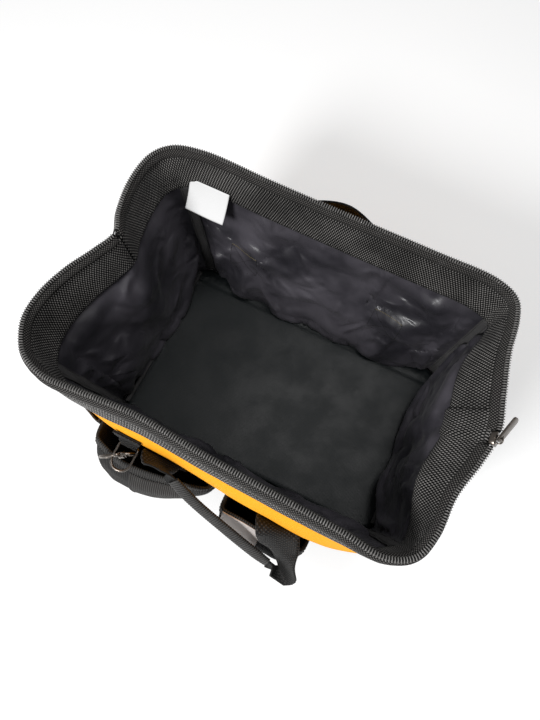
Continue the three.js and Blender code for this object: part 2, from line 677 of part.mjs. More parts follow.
// A point of a pocket's face: a step round its plan, a height, and a distance inwards of the face
function pocketPoint(pocket, step, z, inwards) {
  const { across, out } = planPoint(pocket.plan, step);
  const heightShare = (z - POCKET_FOOT_HEIGHT) / (pocket.height - POCKET_FOOT_HEIGHT);
  const swell = interpolate(pocket.swell, 'height', 'out', THREE.MathUtils.clamp(heightShare, 0, 1));
  const x = pocket.x + pocket.width * across;
  const middleX = pocket.x + pocket.width / 2;
  const shrunkX = middleX + (x - middleX) * (1 - (2 * inwards) / pocket.width);
  const reach = Math.max(0, pocket.depth * swell - inwards) * out;
  return new THREE.Vector3(shrunkX, panelY(0, shrunkX, z) - POCKET_GAP - reach, z);
}

function pocketHeights(pocket) {
  const swellHeights = pocket.swell.map((row) => (
    POCKET_FOOT_HEIGHT + row.height * (pocket.height - POCKET_FOOT_HEIGHT)
  ));
  return heightsBetween(POCKET_FOOT_HEIGHT, pocket.height, swellHeights);
}

// The step round a pocket's plan at which it has gone a distance across
function pocketStep(pocket, distance) {
  const across = distance / pocket.width;
  const next = pocket.plan.findIndex((row) => row.across > across);
  const [low, high] = [pocket.plan[next - 1].across, pocket.plan[next].across];
  return next - 1 + (across - low) / (high - low);
}

// Face, sides and floor of a pocket as one open-topped body
function pocketGeometry(pocket) {
  const steps = [...pocket.plan.keys()];
  const side = (inwards, floor) => steps.map((step) => {
    const heights = [floor, ...pocketHeights(pocket).slice(1)];
    const face = heights.map((z) => pocketPoint(pocket, step, z, inwards));
    const foot = face[0].clone();
    foot.y = panelY(0, foot.x, floor) - POCKET_GAP;
    return [foot, ...face];
  });
  return sheetGeometry(side(0, POCKET_FOOT_HEIGHT), side(POCKET_WALL, POCKET_FOOT_HEIGHT + POCKET_WALL));
}

// A strip laid on a pocket's face between two steps and two heights
function pocketStrip(pocket, firstStep, lastStep, heights, thickness) {
  const lastRow = pocket.plan.length - 1;
  const between = [...pocket.plan.keys()];
  const steps = [firstStep, ...between.filter((i) => i > firstStep + 0.2 && i < lastStep - 0.2), lastStep];
  const grid = (outwards) => steps.map((step) => heights.map((z) => {
    const point = pocketPoint(pocket, step, z, 0);
    const ahead = pocketPoint(pocket, Math.min(step + 0.5, lastRow), z, 0);
    const behind = pocketPoint(pocket, Math.max(step - 0.5, 0), z, 0);
    const along = ahead.sub(behind).setZ(0).normalize();
    return point.add(new THREE.Vector3(along.y, -along.x, 0).multiplyScalar(outwards));
  }));
  return sheetGeometry(grid(SEAM_GAP + thickness), grid(SEAM_GAP));
}

function makePockets() {
  const meshes = [
    makeMesh('left_pocket', pocketGeometry(POCKETS.left), 'black_canvas'),
    makeMesh('right_pocket', pocketGeometry(POCKETS.right), 'black_canvas'),
    makeMesh('corner_pocket', pocketGeometry(POCKETS.corner), 'grey_canvas'),
  ];
  for (const name of ['left', 'right']) {
    const pocket = POCKETS[name];
    const heights = [pocket.height - POCKET_BINDING_WIDTH, pocket.height];
    const strip = pocketStrip(pocket, 1, pocket.plan.length - 2, heights, POCKET_BINDING_THICKNESS);
    meshes.push(makeMesh(`${name}_pocket_binding`, strip, 'webbing'));
  }
  const stripHeights = (pocket, foot) => {
    const top = pocket.height - POCKET_BINDING_WIDTH - SEAM_GAP;
    return [foot, ...pocketHeights(pocket).filter((z) => z > foot + 1 && z < top - 1), top];
  };
  const bandStart = pocketStep(POCKETS.left, POCKET_BAND_X - LEFT_POCKET_X);
  const bandEnd = pocketStep(POCKETS.left, POCKET_BAND_X + POCKET_BAND_WIDTH - LEFT_POCKET_X);
  const bandHeights = stripHeights(POCKETS.left, POCKET_FOOT_HEIGHT);
  const band = pocketStrip(POCKETS.left, bandStart, bandEnd, bandHeights, POCKET_BAND_THICKNESS);
  meshes.push(makeMesh('left_pocket_band', band, 'webbing'));
  const patchStart = pocketStep(POCKETS.right, PATCH_EDGE);
  const patchEnd = pocketStep(POCKETS.right, PATCH_EDGE + PATCH_WIDTH);
  const patchHeights = stripHeights(POCKETS.right, RIGHT_POCKET_HEIGHT - POCKET_BINDING_WIDTH - PATCH_HEIGHT);
  const patch = pocketStrip(POCKETS.right, patchStart, patchEnd, patchHeights, PATCH_THICKNESS);
  meshes.push(makeMesh('grey_patch', patch, 'patch'));
  return meshes;
}

// Rows of a strap's centre line, each with the direction that the strap runs in there
function withDirections(rows) {
  return rows.map((row, i) => {
    const before = rows[Math.max(i - 1, 0)].centre;
    const after = rows[Math.min(i + 1, rows.length - 1)].centre;
    return { ...row, along: after.clone().sub(before).normalize() };
  });
}

// A flat strap through rows of centre, running direction, direction across and width
function strapGeometry(rows, thickness) {
  const rings = rows.map(({ centre, along, across, width }) => {
    const sideways = across.clone().projectOnPlane(along).setLength(width / 2);
    const through = along.clone().cross(sideways).setLength(thickness / 2);
    return [[-1, -1], [1, -1], [1, 1], [-1, 1]].map(([a, b]) => (
      centre.clone().addScaledVector(sideways, a).addScaledVector(through, b)
    ));
  });
  const square = [[-1, -1], [1, -1], [1, 1], [-1, 1]].map(([x, y]) => new THREE.Vector2(x, y));
  return loftGeometry(rings, square);
}

// Rows from first to last, drawn back a little at an end where another piece of the strap takes over
function strapPiece(rows, first, last) {
  const piece = rows.slice(first, last + 1).map((row) => ({ ...row, centre: row.centre.clone() }));
  if (first > 0) {
    piece[0].centre.addScaledVector(piece[0].along, CLEARANCE / 2);
  }
  if (last < rows.length - 1) {
    piece.at(-1).centre.addScaledVector(piece.at(-1).along, -CLEARANCE / 2);
  }
  return piece;
}

const vector = (x, y, z) => new THREE.Vector3(x, y, z);

// How far a strap lies off the panel so that its back clears the panel's bulge
const legOffset = SEAM_GAP + 0.6 + HANDLE_WEBBING_THICKNESS / 2;

function legRows(sideNumber, x, foot, top, direction) {
  const heights = heightsBetween(foot, top);
  return heights.map((z) => ({
    centre: vector(x, legLine(sideNumber, x, z, direction), z),
    across: vector(1, 0, 0),
    width: HANDLE_WEBBING_WIDTH,
  }));
}

// The strap is flat across, so it stands off the proudest point under it
function legLine(sideNumber, x, z, direction) {
  const half = HANDLE_WEBBING_WIDTH / 2;
  const reaches = [-half, -half / 2, 0, half / 2, half].map((shift) => direction * panelY(sideNumber, x + shift, z));
  return direction * (Math.max(...reaches) + legOffset);
}

// Free rows of a handle: share is the way along between its two legs, out and up are shares of the
// loop's reach and rise, width is a share of the webbing's, and the last three point across the strap.
const GRIP_SHARE = HANDLE_GRIP_WIDTH / HANDLE_WEBBING_WIDTH;
const FRONT_LOOP_ROWS = [
  { share: 0.03, out: 0.12, up: 0.20, width: 0.88, acrossX: 1.00, acrossY: 0.00, acrossZ: -0.10 },
  { share: 0.08, out: 0.24, up: 0.34, width: 0.62, acrossX: 0.70, acrossY: -0.30, acrossZ: -0.64 },
  { share: 0.16, out: 0.36, up: 0.26, width: GRIP_SHARE, acrossX: 0.00, acrossY: -0.50, acrossZ: -0.87 },
  { share: 0.36, out: 0.62, up: -0.22, width: GRIP_SHARE, acrossX: 0.00, acrossY: -0.50, acrossZ: -0.87 },
  { share: 0.64, out: 0.84, up: -0.62, width: GRIP_SHARE, acrossX: 0.00, acrossY: -0.50, acrossZ: -0.87 },
  { share: 0.90, out: 1.02, up: -1.02, width: GRIP_SHARE, acrossX: 0.00, acrossY: -0.50, acrossZ: -0.87 },
  { share: 1.06, out: 1.10, up: -1.22, width: GRIP_SHARE, acrossX: 0.00, acrossY: -0.40, acrossZ: -0.92 },
  { share: 1.17, out: 1.10, up: -1.16, width: GRIP_SHARE, acrossX: -0.62, acrossY: 0.10, acrossZ: -0.78 },
  { share: 1.21, out: 0.94, up: -0.80, width: 0.50, acrossX: -0.85, acrossY: 0.50, acrossZ: -0.15 },
  { share: 1.12, out: 0.60, up: -0.24, width: 0.76, acrossX: -0.95, acrossY: 0.31, acrossZ: 0.00 },
  { share: 1.03, out: 0.18, up: 0.10, width: 0.96, acrossX: -1.00, acrossY: 0.00, acrossZ: 0.00 },
];
const GRIP_FIRST_ROW = 2;
const GRIP_LAST_ROW = 6;
const BACK_LOOP_ROWS = [
  { share: 0.03, out: 0.10, up: 0.28, width: 0.95, acrossX: 1.00, acrossY: 0.00, acrossZ: 0.00 },
  { share: 0.12, out: 0.20, up: 0.56, width: 0.78, acrossX: 0.80, acrossY: 0.00, acrossZ: -0.60 },
  { share: 0.28, out: 0.42, up: 0.82, width: 0.50, acrossX: 0.40, acrossY: 0.00, acrossZ: -0.92 },
  { share: 0.40, out: 0.85, up: 0.96, width: 0.42, acrossX: 0.10, acrossY: 0.00, acrossZ: -1.00 },
  { share: 0.54, out: 1.00, up: 1.00, width: 0.42, acrossX: 0.00, acrossY: 0.00, acrossZ: -1.00 },
  { share: 0.70, out: 0.60, up: 0.86, width: 0.46, acrossX: -0.40, acrossY: 0.00, acrossZ: -0.92 },
  { share: 0.86, out: 0.22, up: 0.58, width: 0.74, acrossX: -0.80, acrossY: 0.00, acrossZ: -0.60 },
  { share: 0.97, out: 0.10, up: 0.28, width: 0.95, acrossX: -1.00, acrossY: 0.00, acrossZ: 0.00 },
];

// Whole centre line of a handle: up one leg, round the free loop and down the other leg
function handleRows(left, right, freeRows, reach, rise) {
  const start = left.at(-1).centre;
  const end = right.at(-1).centre;
  const loop = freeRows.map(({ share, out, up, width, acrossX, acrossY, acrossZ }) => {
    const centre = start.clone().addScaledVector(end.clone().sub(start), share);
    centre.y += out * reach;
    centre.z += up * rise;
    return { centre, across: vector(acrossX, acrossY, acrossZ), width: HANDLE_WEBBING_WIDTH * width };
  });
  const down = right.map((row) => ({ ...row, across: row.across.clone().negate() })).reverse();
  return withDirections([...left, ...loop, ...down]);
}

// The front loop lies over to the right: its left end stays by the panel and its right end hangs out
function makeFrontHandle() {
  const top = casingOuterFoot - FRONT_LEG_TOP_GAP;
  const foot = top - FRONT_LEG_HEIGHT;
  const left = legRows(0, FRONT_LEG_LEFT_X, foot, top, -1);
  const right = legRows(0, FRONT_LEG_RIGHT_X, foot, top, -1);
  const rows = handleRows(left, right, FRONT_LOOP_ROWS, -FRONT_LOOP_REACH, FRONT_LOOP_DROP);
  const [first, last] = [left.length + GRIP_FIRST_ROW, left.length + GRIP_LAST_ROW];
  const leftLeg = strapGeometry(strapPiece(rows, 0, first), HANDLE_WEBBING_THICKNESS);
  const rightLeg = strapGeometry(strapPiece(rows, last, rows.length - 1), HANDLE_WEBBING_THICKNESS);
  const grip = strapGeometry(strapPiece(rows, first, last), HANDLE_GRIP_THICKNESS);
  return [
    makeMesh('front_handle_left_leg', leftLeg, 'webbing'),
    makeMesh('front_handle_right_leg', rightLeg, 'webbing'),
    makeMesh('front_handle_grip', grip, 'webbing'),
  ];
}

// The back loop stands up behind the rim and leans away from it
function makeBackHandle() {
  const top = casingOuterFoot - BACK_LEG_TOP_GAP;
  const left = legRows(2, BACK_LEG_LEFT_X, BACK_LEG_FOOT, top, 1);
  const right = legRows(2, BACK_LEG_RIGHT_X, BACK_LEG_FOOT, top, 1);
  const rows = handleRows(left, right, BACK_LOOP_ROWS, BACK_LOOP_REACH, BACK_LOOP_RISE);
  return [makeMesh('back_handle', strapGeometry(rows, HANDLE_WEBBING_THICKNESS), 'webbing')];
}

function makeLabel() {
  const top = wallTop - CASING_INNER_DROP - SEAM_GAP;
  const half = LABEL_WIDTH / 2;
  const wall = Math.min(...[-half, 0, half].map((shift) => (
    wallPoint(panelPlace(2, LABEL_X + shift, top), top, -LINING_THICKNESS - SEAM_GAP).y
  )));
  const geometry = new THREE.BoxGeometry(LABEL_WIDTH, LABEL_THICKNESS, LABEL_LENGTH);
  geometry.translate(0, 0, -LABEL_LENGTH / 2);
  const mesh = makeMesh('label', geometry, 'label');
  mesh.position.set(LABEL_X, wall - LABEL_THICKNESS, top);
  mesh.rotation.x = THREE.MathUtils.degToRad(-LABEL_TILT);
  return [mesh];
}

function tube(points, diameter, closed, steps, sides) {
  const curve = new THREE.CatmullRomCurve3(points, closed, 'centripetal');
  if (closed) {
    return new THREE.TubeGeometry(curve, steps, diameter / 2, sides, true);
  }
  const section = new THREE.Shape(Array.from({ length: sides }, (_, i) => {
    const angle = (i / sides) * 2 * Math.PI;
    return new THREE.Vector2((diameter / 2) * Math.cos(angle), (diameter / 2) * Math.sin(angle));
  }));
  return new THREE.ExtrudeGeometry(section, { steps, extrudePath: curve, bevelEnabled: false });
}

// Slider and its pull at the hinge of the right end; local x points out of the bag, y along the zip
function makeSlider() {
  const group = new THREE.Group();
  const lift = SLIDER_WIDTH / 2 - ZIP_COIL_DIAMETER / 2;
  const seat = wallPoint(rightHinge, RIM_HEIGHT, 0);
  group.position.set(seat.x, seat.y, RIM_HEIGHT + CLEARANCE + lift - SLIDER_WIDTH / 2);
  const outline = new THREE.Shape();
  const [half, nose] = [SLIDER_LENGTH / 2, SLIDER_LENGTH / 4];
  outline.moveTo(-half, -SLIDER_WIDTH / 3);
  outline.lineTo(-nose, -SLIDER_WIDTH / 2);
  outline.lineTo(nose, -SLIDER_WIDTH / 2);
  outline.lineTo(half, -SLIDER_WIDTH / 3);
  outline.lineTo(half, SLIDER_WIDTH / 3);
  outline.lineTo(nose, SLIDER_WIDTH / 2);
  outline.lineTo(-nose, SLIDER_WIDTH / 2);
  outline.lineTo(-half, SLIDER_WIDTH / 3);
  outline.closePath();
  const body = new THREE.ExtrudeGeometry(outline, { depth: SLIDER_THICKNESS, bevelEnabled: false });
  body.rotateX(Math.PI / 2);
  body.rotateZ(Math.PI / 2);
  const bailHalf = BAIL_LENGTH / 2;
  const bailTop = BAIL_HEIGHT + BAIL_WIRE / 2;
  const bail = tube([
    vector(-0.6, -bailHalf, 0), vector(BAIL_HEIGHT * 0.8, -bailHalf, 0), vector(bailTop, -bailHalf / 2, 0),
    vector(bailTop, bailHalf / 2, 0), vector(BAIL_HEIGHT * 0.8, bailHalf, 0), vector(-0.6, bailHalf, 0),
  ], BAIL_WIRE, false, 12, 6);
  body.computeBoundingBox();
  body.translate(-body.boundingBox.max.x, 0, 0);
  const joined = toManifold(body).add(toManifold(bail));
  const slider = makeMesh('zip_slider', fromManifold(joined), 'gunmetal');
  const plate = new THREE.Shape();
  const width = PULL_WIDTH / 2;
  const barEnd = -BAIL_HEIGHT / 3.5;
  const slotHalf = BAIL_WIRE / 2 + RUNNING_CLEARANCE;
  const [slotStart, slotEnd] = [BAIL_WIRE / 3, bailHalf + BAIL_WIRE + RUNNING_CLEARANCE];
  plate.moveTo(-width * 0.7, barEnd);
  plate.lineTo(width * 0.7, barEnd);
  plate.lineTo(width, slotEnd);
  plate.lineTo(width, PULL_LENGTH - width * 0.8);
  plate.quadraticCurveTo(width, PULL_LENGTH, 0, PULL_LENGTH);
  plate.quadraticCurveTo(-width, PULL_LENGTH, -width, PULL_LENGTH - width * 0.8);
  plate.lineTo(-width, slotEnd);
  plate.closePath();
  const slot = new THREE.Path();
  slot.moveTo(-slotHalf, slotStart);
  slot.lineTo(-slotHalf, slotEnd);
  slot.lineTo(slotHalf, slotEnd);
  slot.lineTo(slotHalf, slotStart);
  slot.closePath();
  plate.holes.push(slot);
  const tab = new THREE.ExtrudeGeometry(plate, { depth: PULL_THICKNESS, bevelEnabled: false, curveSegments: 5 });
  tab.translate(0, 0, -PULL_THICKNESS / 2);
  tab.rotateY(Math.PI / 2);
  const pull = makeMesh('zip_pull', tab, 'gunmetal');
  pull.position.set(BAIL_HEIGHT / 2, 0, 0);
  pull.rotation.z = THREE.MathUtils.degToRad(-PULL_REST_ANGLE);
  group.add(slider, pull);
  group.rotation.y = THREE.MathUtils.degToRad(-SLIDER_TILT);
  return group;
}

// Folded webbing tab with the ring's bar in its fold; it lies on the panel and widens upwards
function makeRing() {
  const barHeight = casingOuterFoot - TAB_TOP_GAP - TAB_LENGTH;
  const barRadius = RING_WIRE / 2;
  const bore = barRadius + 2 * RUNNING_CLEARANCE;
  const outerRadius = bore + TAB_PLY;
  const panelAt = (z) => Math.min(...[-1, 0, 1].map((way) => panelY(0, TAB_X + (way * TAB_TOP_WIDTH) / 2, z)));
  const heights = heightsBetween(barHeight + outerRadius + 1, barHeight + TAB_LENGTH);
  const proudest = Math.min(...[barHeight - outerRadius, barHeight, ...heights].map(panelAt));
  const barY = proudest - SEAM_GAP - outerRadius;
  const back = heights.map((z) => [panelAt(z) - SEAM_GAP - barY, z - barHeight]);
  const profile = new THREE.Shape();
  profile.moveTo(outerRadius, 0);
  back.forEach(([y, z]) => profile.lineTo(y, z));
  [...back].reverse().forEach(([y, z]) => profile.lineTo(y - 2 * TAB_PLY, z));
  profile.lineTo(-outerRadius, 0);
  profile.absarc(0, 0, outerRadius, Math.PI, 2 * Math.PI, false);
  profile.closePath();
  const channel = new THREE.Path();
  channel.absarc(0, 0, bore, 0, 2 * Math.PI, true);
  profile.holes.push(channel);
  const tabGeometry = new THREE.ExtrudeGeometry(profile, { depth: 1, bevelEnabled: false, curveSegments: 8 });
  tabGeometry.translate(0, 0, -0.5);
  tabGeometry.rotateX(Math.PI / 2);
  tabGeometry.rotateZ(Math.PI / 2);
  const position = tabGeometry.attributes.position;
  for (let i = 0; i < position.count; i += 1) {
    const width = TAB_RING_WIDTH + ((TAB_TOP_WIDTH - TAB_RING_WIDTH) * position.getZ(i)) / TAB_LENGTH;
    position.setX(i, position.getX(i) * width);
  }
  const tab = makeMesh('ring_tab', tabGeometry, 'webbing');
  tab.position.set(TAB_X, barY, barHeight);
  const half = RING_INNER_WIDTH / 2;
  const leg = half + barRadius;
  const bow = [
    vector(-leg, -barRadius, 0), vector(-half * 0.8, 0, 0), vector(half * 0.8, 0, 0), vector(leg, -barRadius, 0),
    vector(leg, -RING_DEPTH * 0.35, 0), vector(leg, -RING_DEPTH * 0.72, 0),
    vector(leg * 0.66, -RING_DEPTH * 0.93, 0), vector(0, -RING_DEPTH, 0), vector(-leg * 0.66, -RING_DEPTH * 0.93, 0),
    vector(-leg, -RING_DEPTH * 0.72, 0), vector(-leg, -RING_DEPTH * 0.35, 0),
  ];
  const ring = makeMesh('d_ring', tube(bow, RING_WIRE, true, 30, 6), 'gunmetal');
  ring.position.set(TAB_X, barY, barHeight);
  return { meshes: [tab, ring], catchPoint: vector(TAB_X - leg, barY - RING_CATCH, barHeight) };
}

// Snap hook lying with its claw round the ring's left leg; local x runs from the swivel to the claw's tip
function makeHook(catchPoint) {
  const group = new THREE.Group();
  const wire = HOOK_WIRE / 2;
  const side = HOOK_CLAW_WIDTH / 2;
  const bossLength = 5;
  const spine = tube([
    vector(-1, 0, side - 1), vector(3, 0, side), vector(HOOK_CLAW_LENGTH * 0.7, 0, side),
    vector(HOOK_CLAW_LENGTH * 0.95, 0, side * 0.6), vector(HOOK_CLAW_LENGTH, 0, 0),
    vector(HOOK_CLAW_LENGTH * 0.95, 0, -side * 0.6), vector(HOOK_CLAW_LENGTH * 0.78, 0, -side),
  ], HOOK_WIRE, false, 18, 8);
  const boss = new THREE.CylinderGeometry(side + wire, side + wire, HOOK_WIRE, 12);
  boss.scale(0.6, 1, 1);
  boss.translate(-1.2, 0, 0);
  const rod = (radius, start, length, sides) => {
    const geometry = new THREE.CylinderGeometry(radius, radius, length, sides);
    geometry.rotateZ(Math.PI / 2);
    geometry.translate(start - length / 2, 0, 0);
    return geometry;
  };
  const stemRadius = HOOK_STEM_DIAMETER / 2;
  const collarRadius = HOOK_COLLAR_DIAMETER / 2;
  const shoulder = -bossLength;
  const collarStart = shoulder - RUNNING_CLEARANCE;
  const frameStart = collarStart - HOOK_COLLAR_LENGTH + 1.5;
  const headStart = frameStart - HOOK_EYE_WIRE - RUNNING_CLEARANCE;
  const claw = toManifold(spine)
    .add(toManifold(boss))
    .add(toManifold(rod(collarRadius, -2, bossLength - 2, 8)))
    .add(toManifold(rod(stemRadius, shoulder + 1, shoulder + 2 - headStart, 8)))
    .add(toManifold(rod(stemRadius + 1.1, headStart, 1.6, 8)));
  const clawMesh = makeMesh('hook_claw', fromManifold(claw), 'gunmetal');

  const eyeOutline = new THREE.Shape();
  const holeHalf = HOOK_EYE_WIDTH / 2;
  const outerHalf = holeHalf + HOOK_EYE_WIRE;
  const frameDepth = HOOK_EYE_LENGTH + 2 * HOOK_EYE_WIRE;
  const taper = HOOK_EYE_WIRE * 1.4;
  eyeOutline.moveTo(0, -collarRadius);
  eyeOutline.lineTo(-taper, -outerHalf);
  eyeOutline.lineTo(-frameDepth + taper, -outerHalf);
  eyeOutline.lineTo(-frameDepth, -holeHalf * 0.8);
  eyeOutline.lineTo(-frameDepth, holeHalf * 0.8);
  eyeOutline.lineTo(-frameDepth + taper, outerHalf);
  eyeOutline.lineTo(-taper, outerHalf);
  eyeOutline.lineTo(0, collarRadius);
  eyeOutline.closePath();
  const eyeHole = new THREE.Path();
  eyeHole.moveTo(-HOOK_EYE_WIRE, -holeHalf);
  eyeHole.lineTo(-HOOK_EYE_WIRE, holeHalf);
  eyeHole.lineTo(-HOOK_EYE_WIRE - HOOK_EYE_LENGTH, holeHalf);
  eyeHole.lineTo(-HOOK_EYE_WIRE - HOOK_EYE_LENGTH, -holeHalf);
  eyeHole.closePath();
  eyeOutline.holes.push(eyeHole);
  const eyePlate = new THREE.ExtrudeGeometry(eyeOutline, { depth: HOOK_EYE_WIRE, bevelEnabled: false });
  eyePlate.translate(frameStart, 0, -HOOK_EYE_WIRE / 2);
  eyePlate.rotateX(Math.PI / 2);
  const eyeBore = rod(stemRadius + RUNNING_CLEARANCE, collarStart + 2, HOOK_COLLAR_LENGTH + 6, 8);
  const eye = toManifold(rod(collarRadius, collarStart, HOOK_COLLAR_LENGTH, 8))
    .add(toManifold(eyePlate))
    .subtract(toManifold(eyeBore));
  const eyeMesh = makeMesh('hook_eye', fromManifold(eye), 'gunmetal');

  const gateHinge = 3;
  const gateLength = HOOK_CLAW_LENGTH * 0.78 - gateHinge - 3 * RUNNING_CLEARANCE;
  const gateShape = new THREE.Shape();
  gateShape.moveTo(0, -wire * 0.8);
  gateShape.lineTo(gateLength, -wire * 0.8);
  gateShape.lineTo(gateLength, wire * 0.8);
  gateShape.lineTo(0, wire * 0.8);
  gateShape.closePath();
  const gateGeometry = new THREE.ExtrudeGeometry(gateShape, { depth: HOOK_WIRE * 0.8, bevelEnabled: false });
  gateGeometry.rotateX(Math.PI / 2);
  gateGeometry.translate(0, HOOK_WIRE * 0.4, 0);
  const gateMesh = makeMesh('hook_gate', gateGeometry, 'gunmetal');
  gateMesh.position.set(gateHinge, 0, -side);
  group.add(clawMesh, eyeMesh, gateMesh);
  const turn = Math.PI + THREE.MathUtils.degToRad(HOOK_TURN);
  group.rotation.set(0, THREE.MathUtils.degToRad(HOOK_TILT), turn, 'ZYX');
  const hang = side - wire - RING_WIRE / 2 - HOOK_HANG_GAP;
  const caught = vector(HOOK_CATCH, 0, hang).applyEuler(group.rotation);
  group.position.copy(catchPoint).sub(caught);
  return group;
}

const bag = new THREE.Group();
const { meshes: ringMeshes, catchPoint } = makeRing();
bag.add(
  ...makeBase(),
  ...makeOuterFabric(),
  ...makeLining(),
  ...makeBindings(),
  ...makeMouth(),
  makeSlider(),
  ...makeLabel(),
  ...makePockets(),
  ...makeFrontHandle(),
  ...makeBackHandle(),
  ...ringMeshes,
  makeHook(catchPoint),
);

export default bag;
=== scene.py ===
"""Tool bag standing open: canvas, lining, padded floor, webbing, zip, front pockets and snap hook."""

import logging  # noqa: E402
import math  # noqa: E402
from bisect import bisect_right  # noqa: E402
from collections.abc import Callable, Iterator, Sequence  # noqa: E402
from dataclasses import dataclass, field  # noqa: E402
from enum import Enum  # noqa: E402

import bmesh  # noqa: E402
import bpy  # noqa: E402
from mathutils import Matrix, Vector, noise  # noqa: E402


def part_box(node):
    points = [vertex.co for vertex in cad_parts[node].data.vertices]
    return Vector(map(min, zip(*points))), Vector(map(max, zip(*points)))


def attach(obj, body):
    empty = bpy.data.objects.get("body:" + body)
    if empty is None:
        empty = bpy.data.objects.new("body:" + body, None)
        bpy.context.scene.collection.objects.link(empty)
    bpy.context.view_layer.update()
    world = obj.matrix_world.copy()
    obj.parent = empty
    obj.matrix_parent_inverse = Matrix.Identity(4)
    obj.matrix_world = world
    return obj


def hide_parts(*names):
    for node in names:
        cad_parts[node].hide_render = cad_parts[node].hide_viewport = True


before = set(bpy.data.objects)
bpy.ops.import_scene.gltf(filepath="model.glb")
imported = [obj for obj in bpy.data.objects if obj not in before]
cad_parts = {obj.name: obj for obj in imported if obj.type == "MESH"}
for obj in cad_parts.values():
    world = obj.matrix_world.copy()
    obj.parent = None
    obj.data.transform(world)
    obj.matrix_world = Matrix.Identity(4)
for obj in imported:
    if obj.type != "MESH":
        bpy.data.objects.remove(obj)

LOG = logging.getLogger("tool_bag")
MM = 0.001
SLIDE_LIMIT = 6 * MM
Spot = Callable[[float, float], Vector]
Run = list[tuple[Vector, Vector]]
StrapLine = list[tuple[Vector, Vector, Vector, float]]
Colour = tuple[float, float, float]


# Shader maths


class Value:
    """A socket of a material's graph that takes part in sums."""

    def __init__(self, graph: "Graph", socket: bpy.types.NodeSocket) -> None:
        """Wrap a socket of a graph."""
        self.graph = graph
        self.socket = socket

    def _math(
        self, operation: str, *others: "Value | float", flip: bool = False, clamp: bool = False
    ) -> "Value":
        """Add one Math node.

        Args:
            operation: the Math node's operation.
            others: what it works with besides this value.
            flip: whether this value comes second.
            clamp: whether the result is kept from 0 to 1.

        Returns:
            The node's result.
        """
        terms = [*others, self] if flip else [self, *others]
        settings = {"operation": operation, "use_clamp": clamp}
        return self.graph.add("ShaderNodeMath", settings, dict(enumerate(terms)))

    def __add__(self, other: "Value | float") -> "Value":
        """Sum."""
        return self._math("ADD", other)

    def __radd__(self, other: float) -> "Value":
        """Sum, the other way round."""
        return self._math("ADD", other, flip=True)

    def __sub__(self, other: "Value | float") -> "Value":
        """Difference."""
        return self._math("SUBTRACT", other)

    def __rsub__(self, other: float) -> "Value":
        """Difference, the other way round."""
        return self._math("SUBTRACT", other, flip=True)

    def __mul__(self, other: "Value | float") -> "Value":
        """Product."""
        return self._math("MULTIPLY", other)

    def __rmul__(self, other: float) -> "Value":
        """Product, the other way round."""
        return self._math("MULTIPLY", other, flip=True)

    def sine(self) -> "Value":
        """Sine."""
        return self._math("SINE")

    def absolute(self) -> "Value":
        """Value without its sign."""
        return self._math("ABSOLUTE")

    def highest(self, other: "Value | float") -> "Value":
        """The greater of two."""
        return self._math("MAXIMUM", other)

    def clamped(self) -> "Value":
        """Value kept from 0 to 1."""
        return self._math("ADD", 0.0, clamp=True)

    def step(self, low: float, high: float) -> "Value":
        """Rise smoothly from 0 at low to 1 at high."""
        inputs = {"Value": self, "From Min": low, "From Max": high}
        return self.graph.add("ShaderNodeMapRange", {"interpolation_type": "SMOOTHSTEP"}, inputs)


class Graph:
    """The node graph of one material."""

    def __init__(self, name: str) -> None:
        """Start an empty material.

        Args:
            name: the material's name.
        """
        self.material = bpy.data.materials.new(name)
        self.material.use_nodes = True
        self.tree = self.material.node_tree
        self.tree.nodes.clear()

    def add(
        self,
        kind: str,
        settings: dict | None = None,
        inputs: dict | None = None,
        output: int | str = 0,
    ) -> Value:
        """Add one node.

        Args:
            kind: the node's type.
            settings: its own settings.
            inputs: values or links by socket name or number.
            output: the result that is wanted, by name or number.

        Returns:
            That result.
        """
        node = self.tree.nodes.new(kind)
        for key, value in (settings or {}).items():
            setattr(node, key, value)
        for key, value in (inputs or {}).items():
            socket = node.inputs[key]
            if isinstance(value, Value):
                self.tree.links.new(value.socket, socket)
            elif isinstance(value, tuple) and socket.type == "RGBA":
                socket.default_value = (*value, 1.0)
            else:
                socket.default_value = value
        return Value(self, node.outputs[output] if node.outputs else None)

    def flat(self) -> tuple[Value, Value]:
        """Metres along and across the piece's own flat cloth."""
        uv = self.add("ShaderNodeUVMap", {"uv_map": "flat"})
        parts = self.add("ShaderNodeSeparateXYZ", inputs={0: uv})
        across = Value(self, parts.socket.node.outputs[1])
        return parts, across

    def noise(self, scale: float, detail: float = 2.0, roughness: float = 0.5) -> Value:
        """Soft noise in object space."""
        place = self.add("ShaderNodeTexCoord", output="Object")
        inputs = {"Vector": place, "Scale": scale, "Detail": detail, "Roughness": roughness}
        return self.add("ShaderNodeTexNoise", inputs=inputs)

    def blend(self, share: Value | float, low: Colour | Value, high: Colour | Value) -> Value:
        """Mix two colours by a share."""
        node = self.tree.nodes.new("ShaderNodeMix")
        node.data_type = "RGBA"
        for number, value in ((0, share), (6, low), (7, high)):
            if isinstance(value, Value):
                self.tree.links.new(value.socket, node.inputs[number])
            elif number:
                node.inputs[number].default_value = (*value, 1.0)
            else:
                node.inputs[number].default_value = value
        return Value(self, node.outputs[2])

    def bump(self, height: Value, distance: float, strength: float = 1.0) -> Value:
        """Turn a height from 0 to 1 into a normal, for a relief of a distance in metres."""
        inputs = {"Height": height, "Distance": distance, "Strength": strength}
        return self.add("ShaderNodeBump", inputs=inputs)

    def close(self, inputs: dict) -> bpy.types.Material:
        """Add the surface shader and hand the material over.

        Args:
            inputs: values or links of the surface shader's sockets.

        Returns:
            The finished material.
        """
        surface = self.add("ShaderNodeBsdfPrincipled", inputs=inputs)
        self.add("ShaderNodeOutputMaterial", inputs={"Surface": surface})
        return self.material


# Finishes


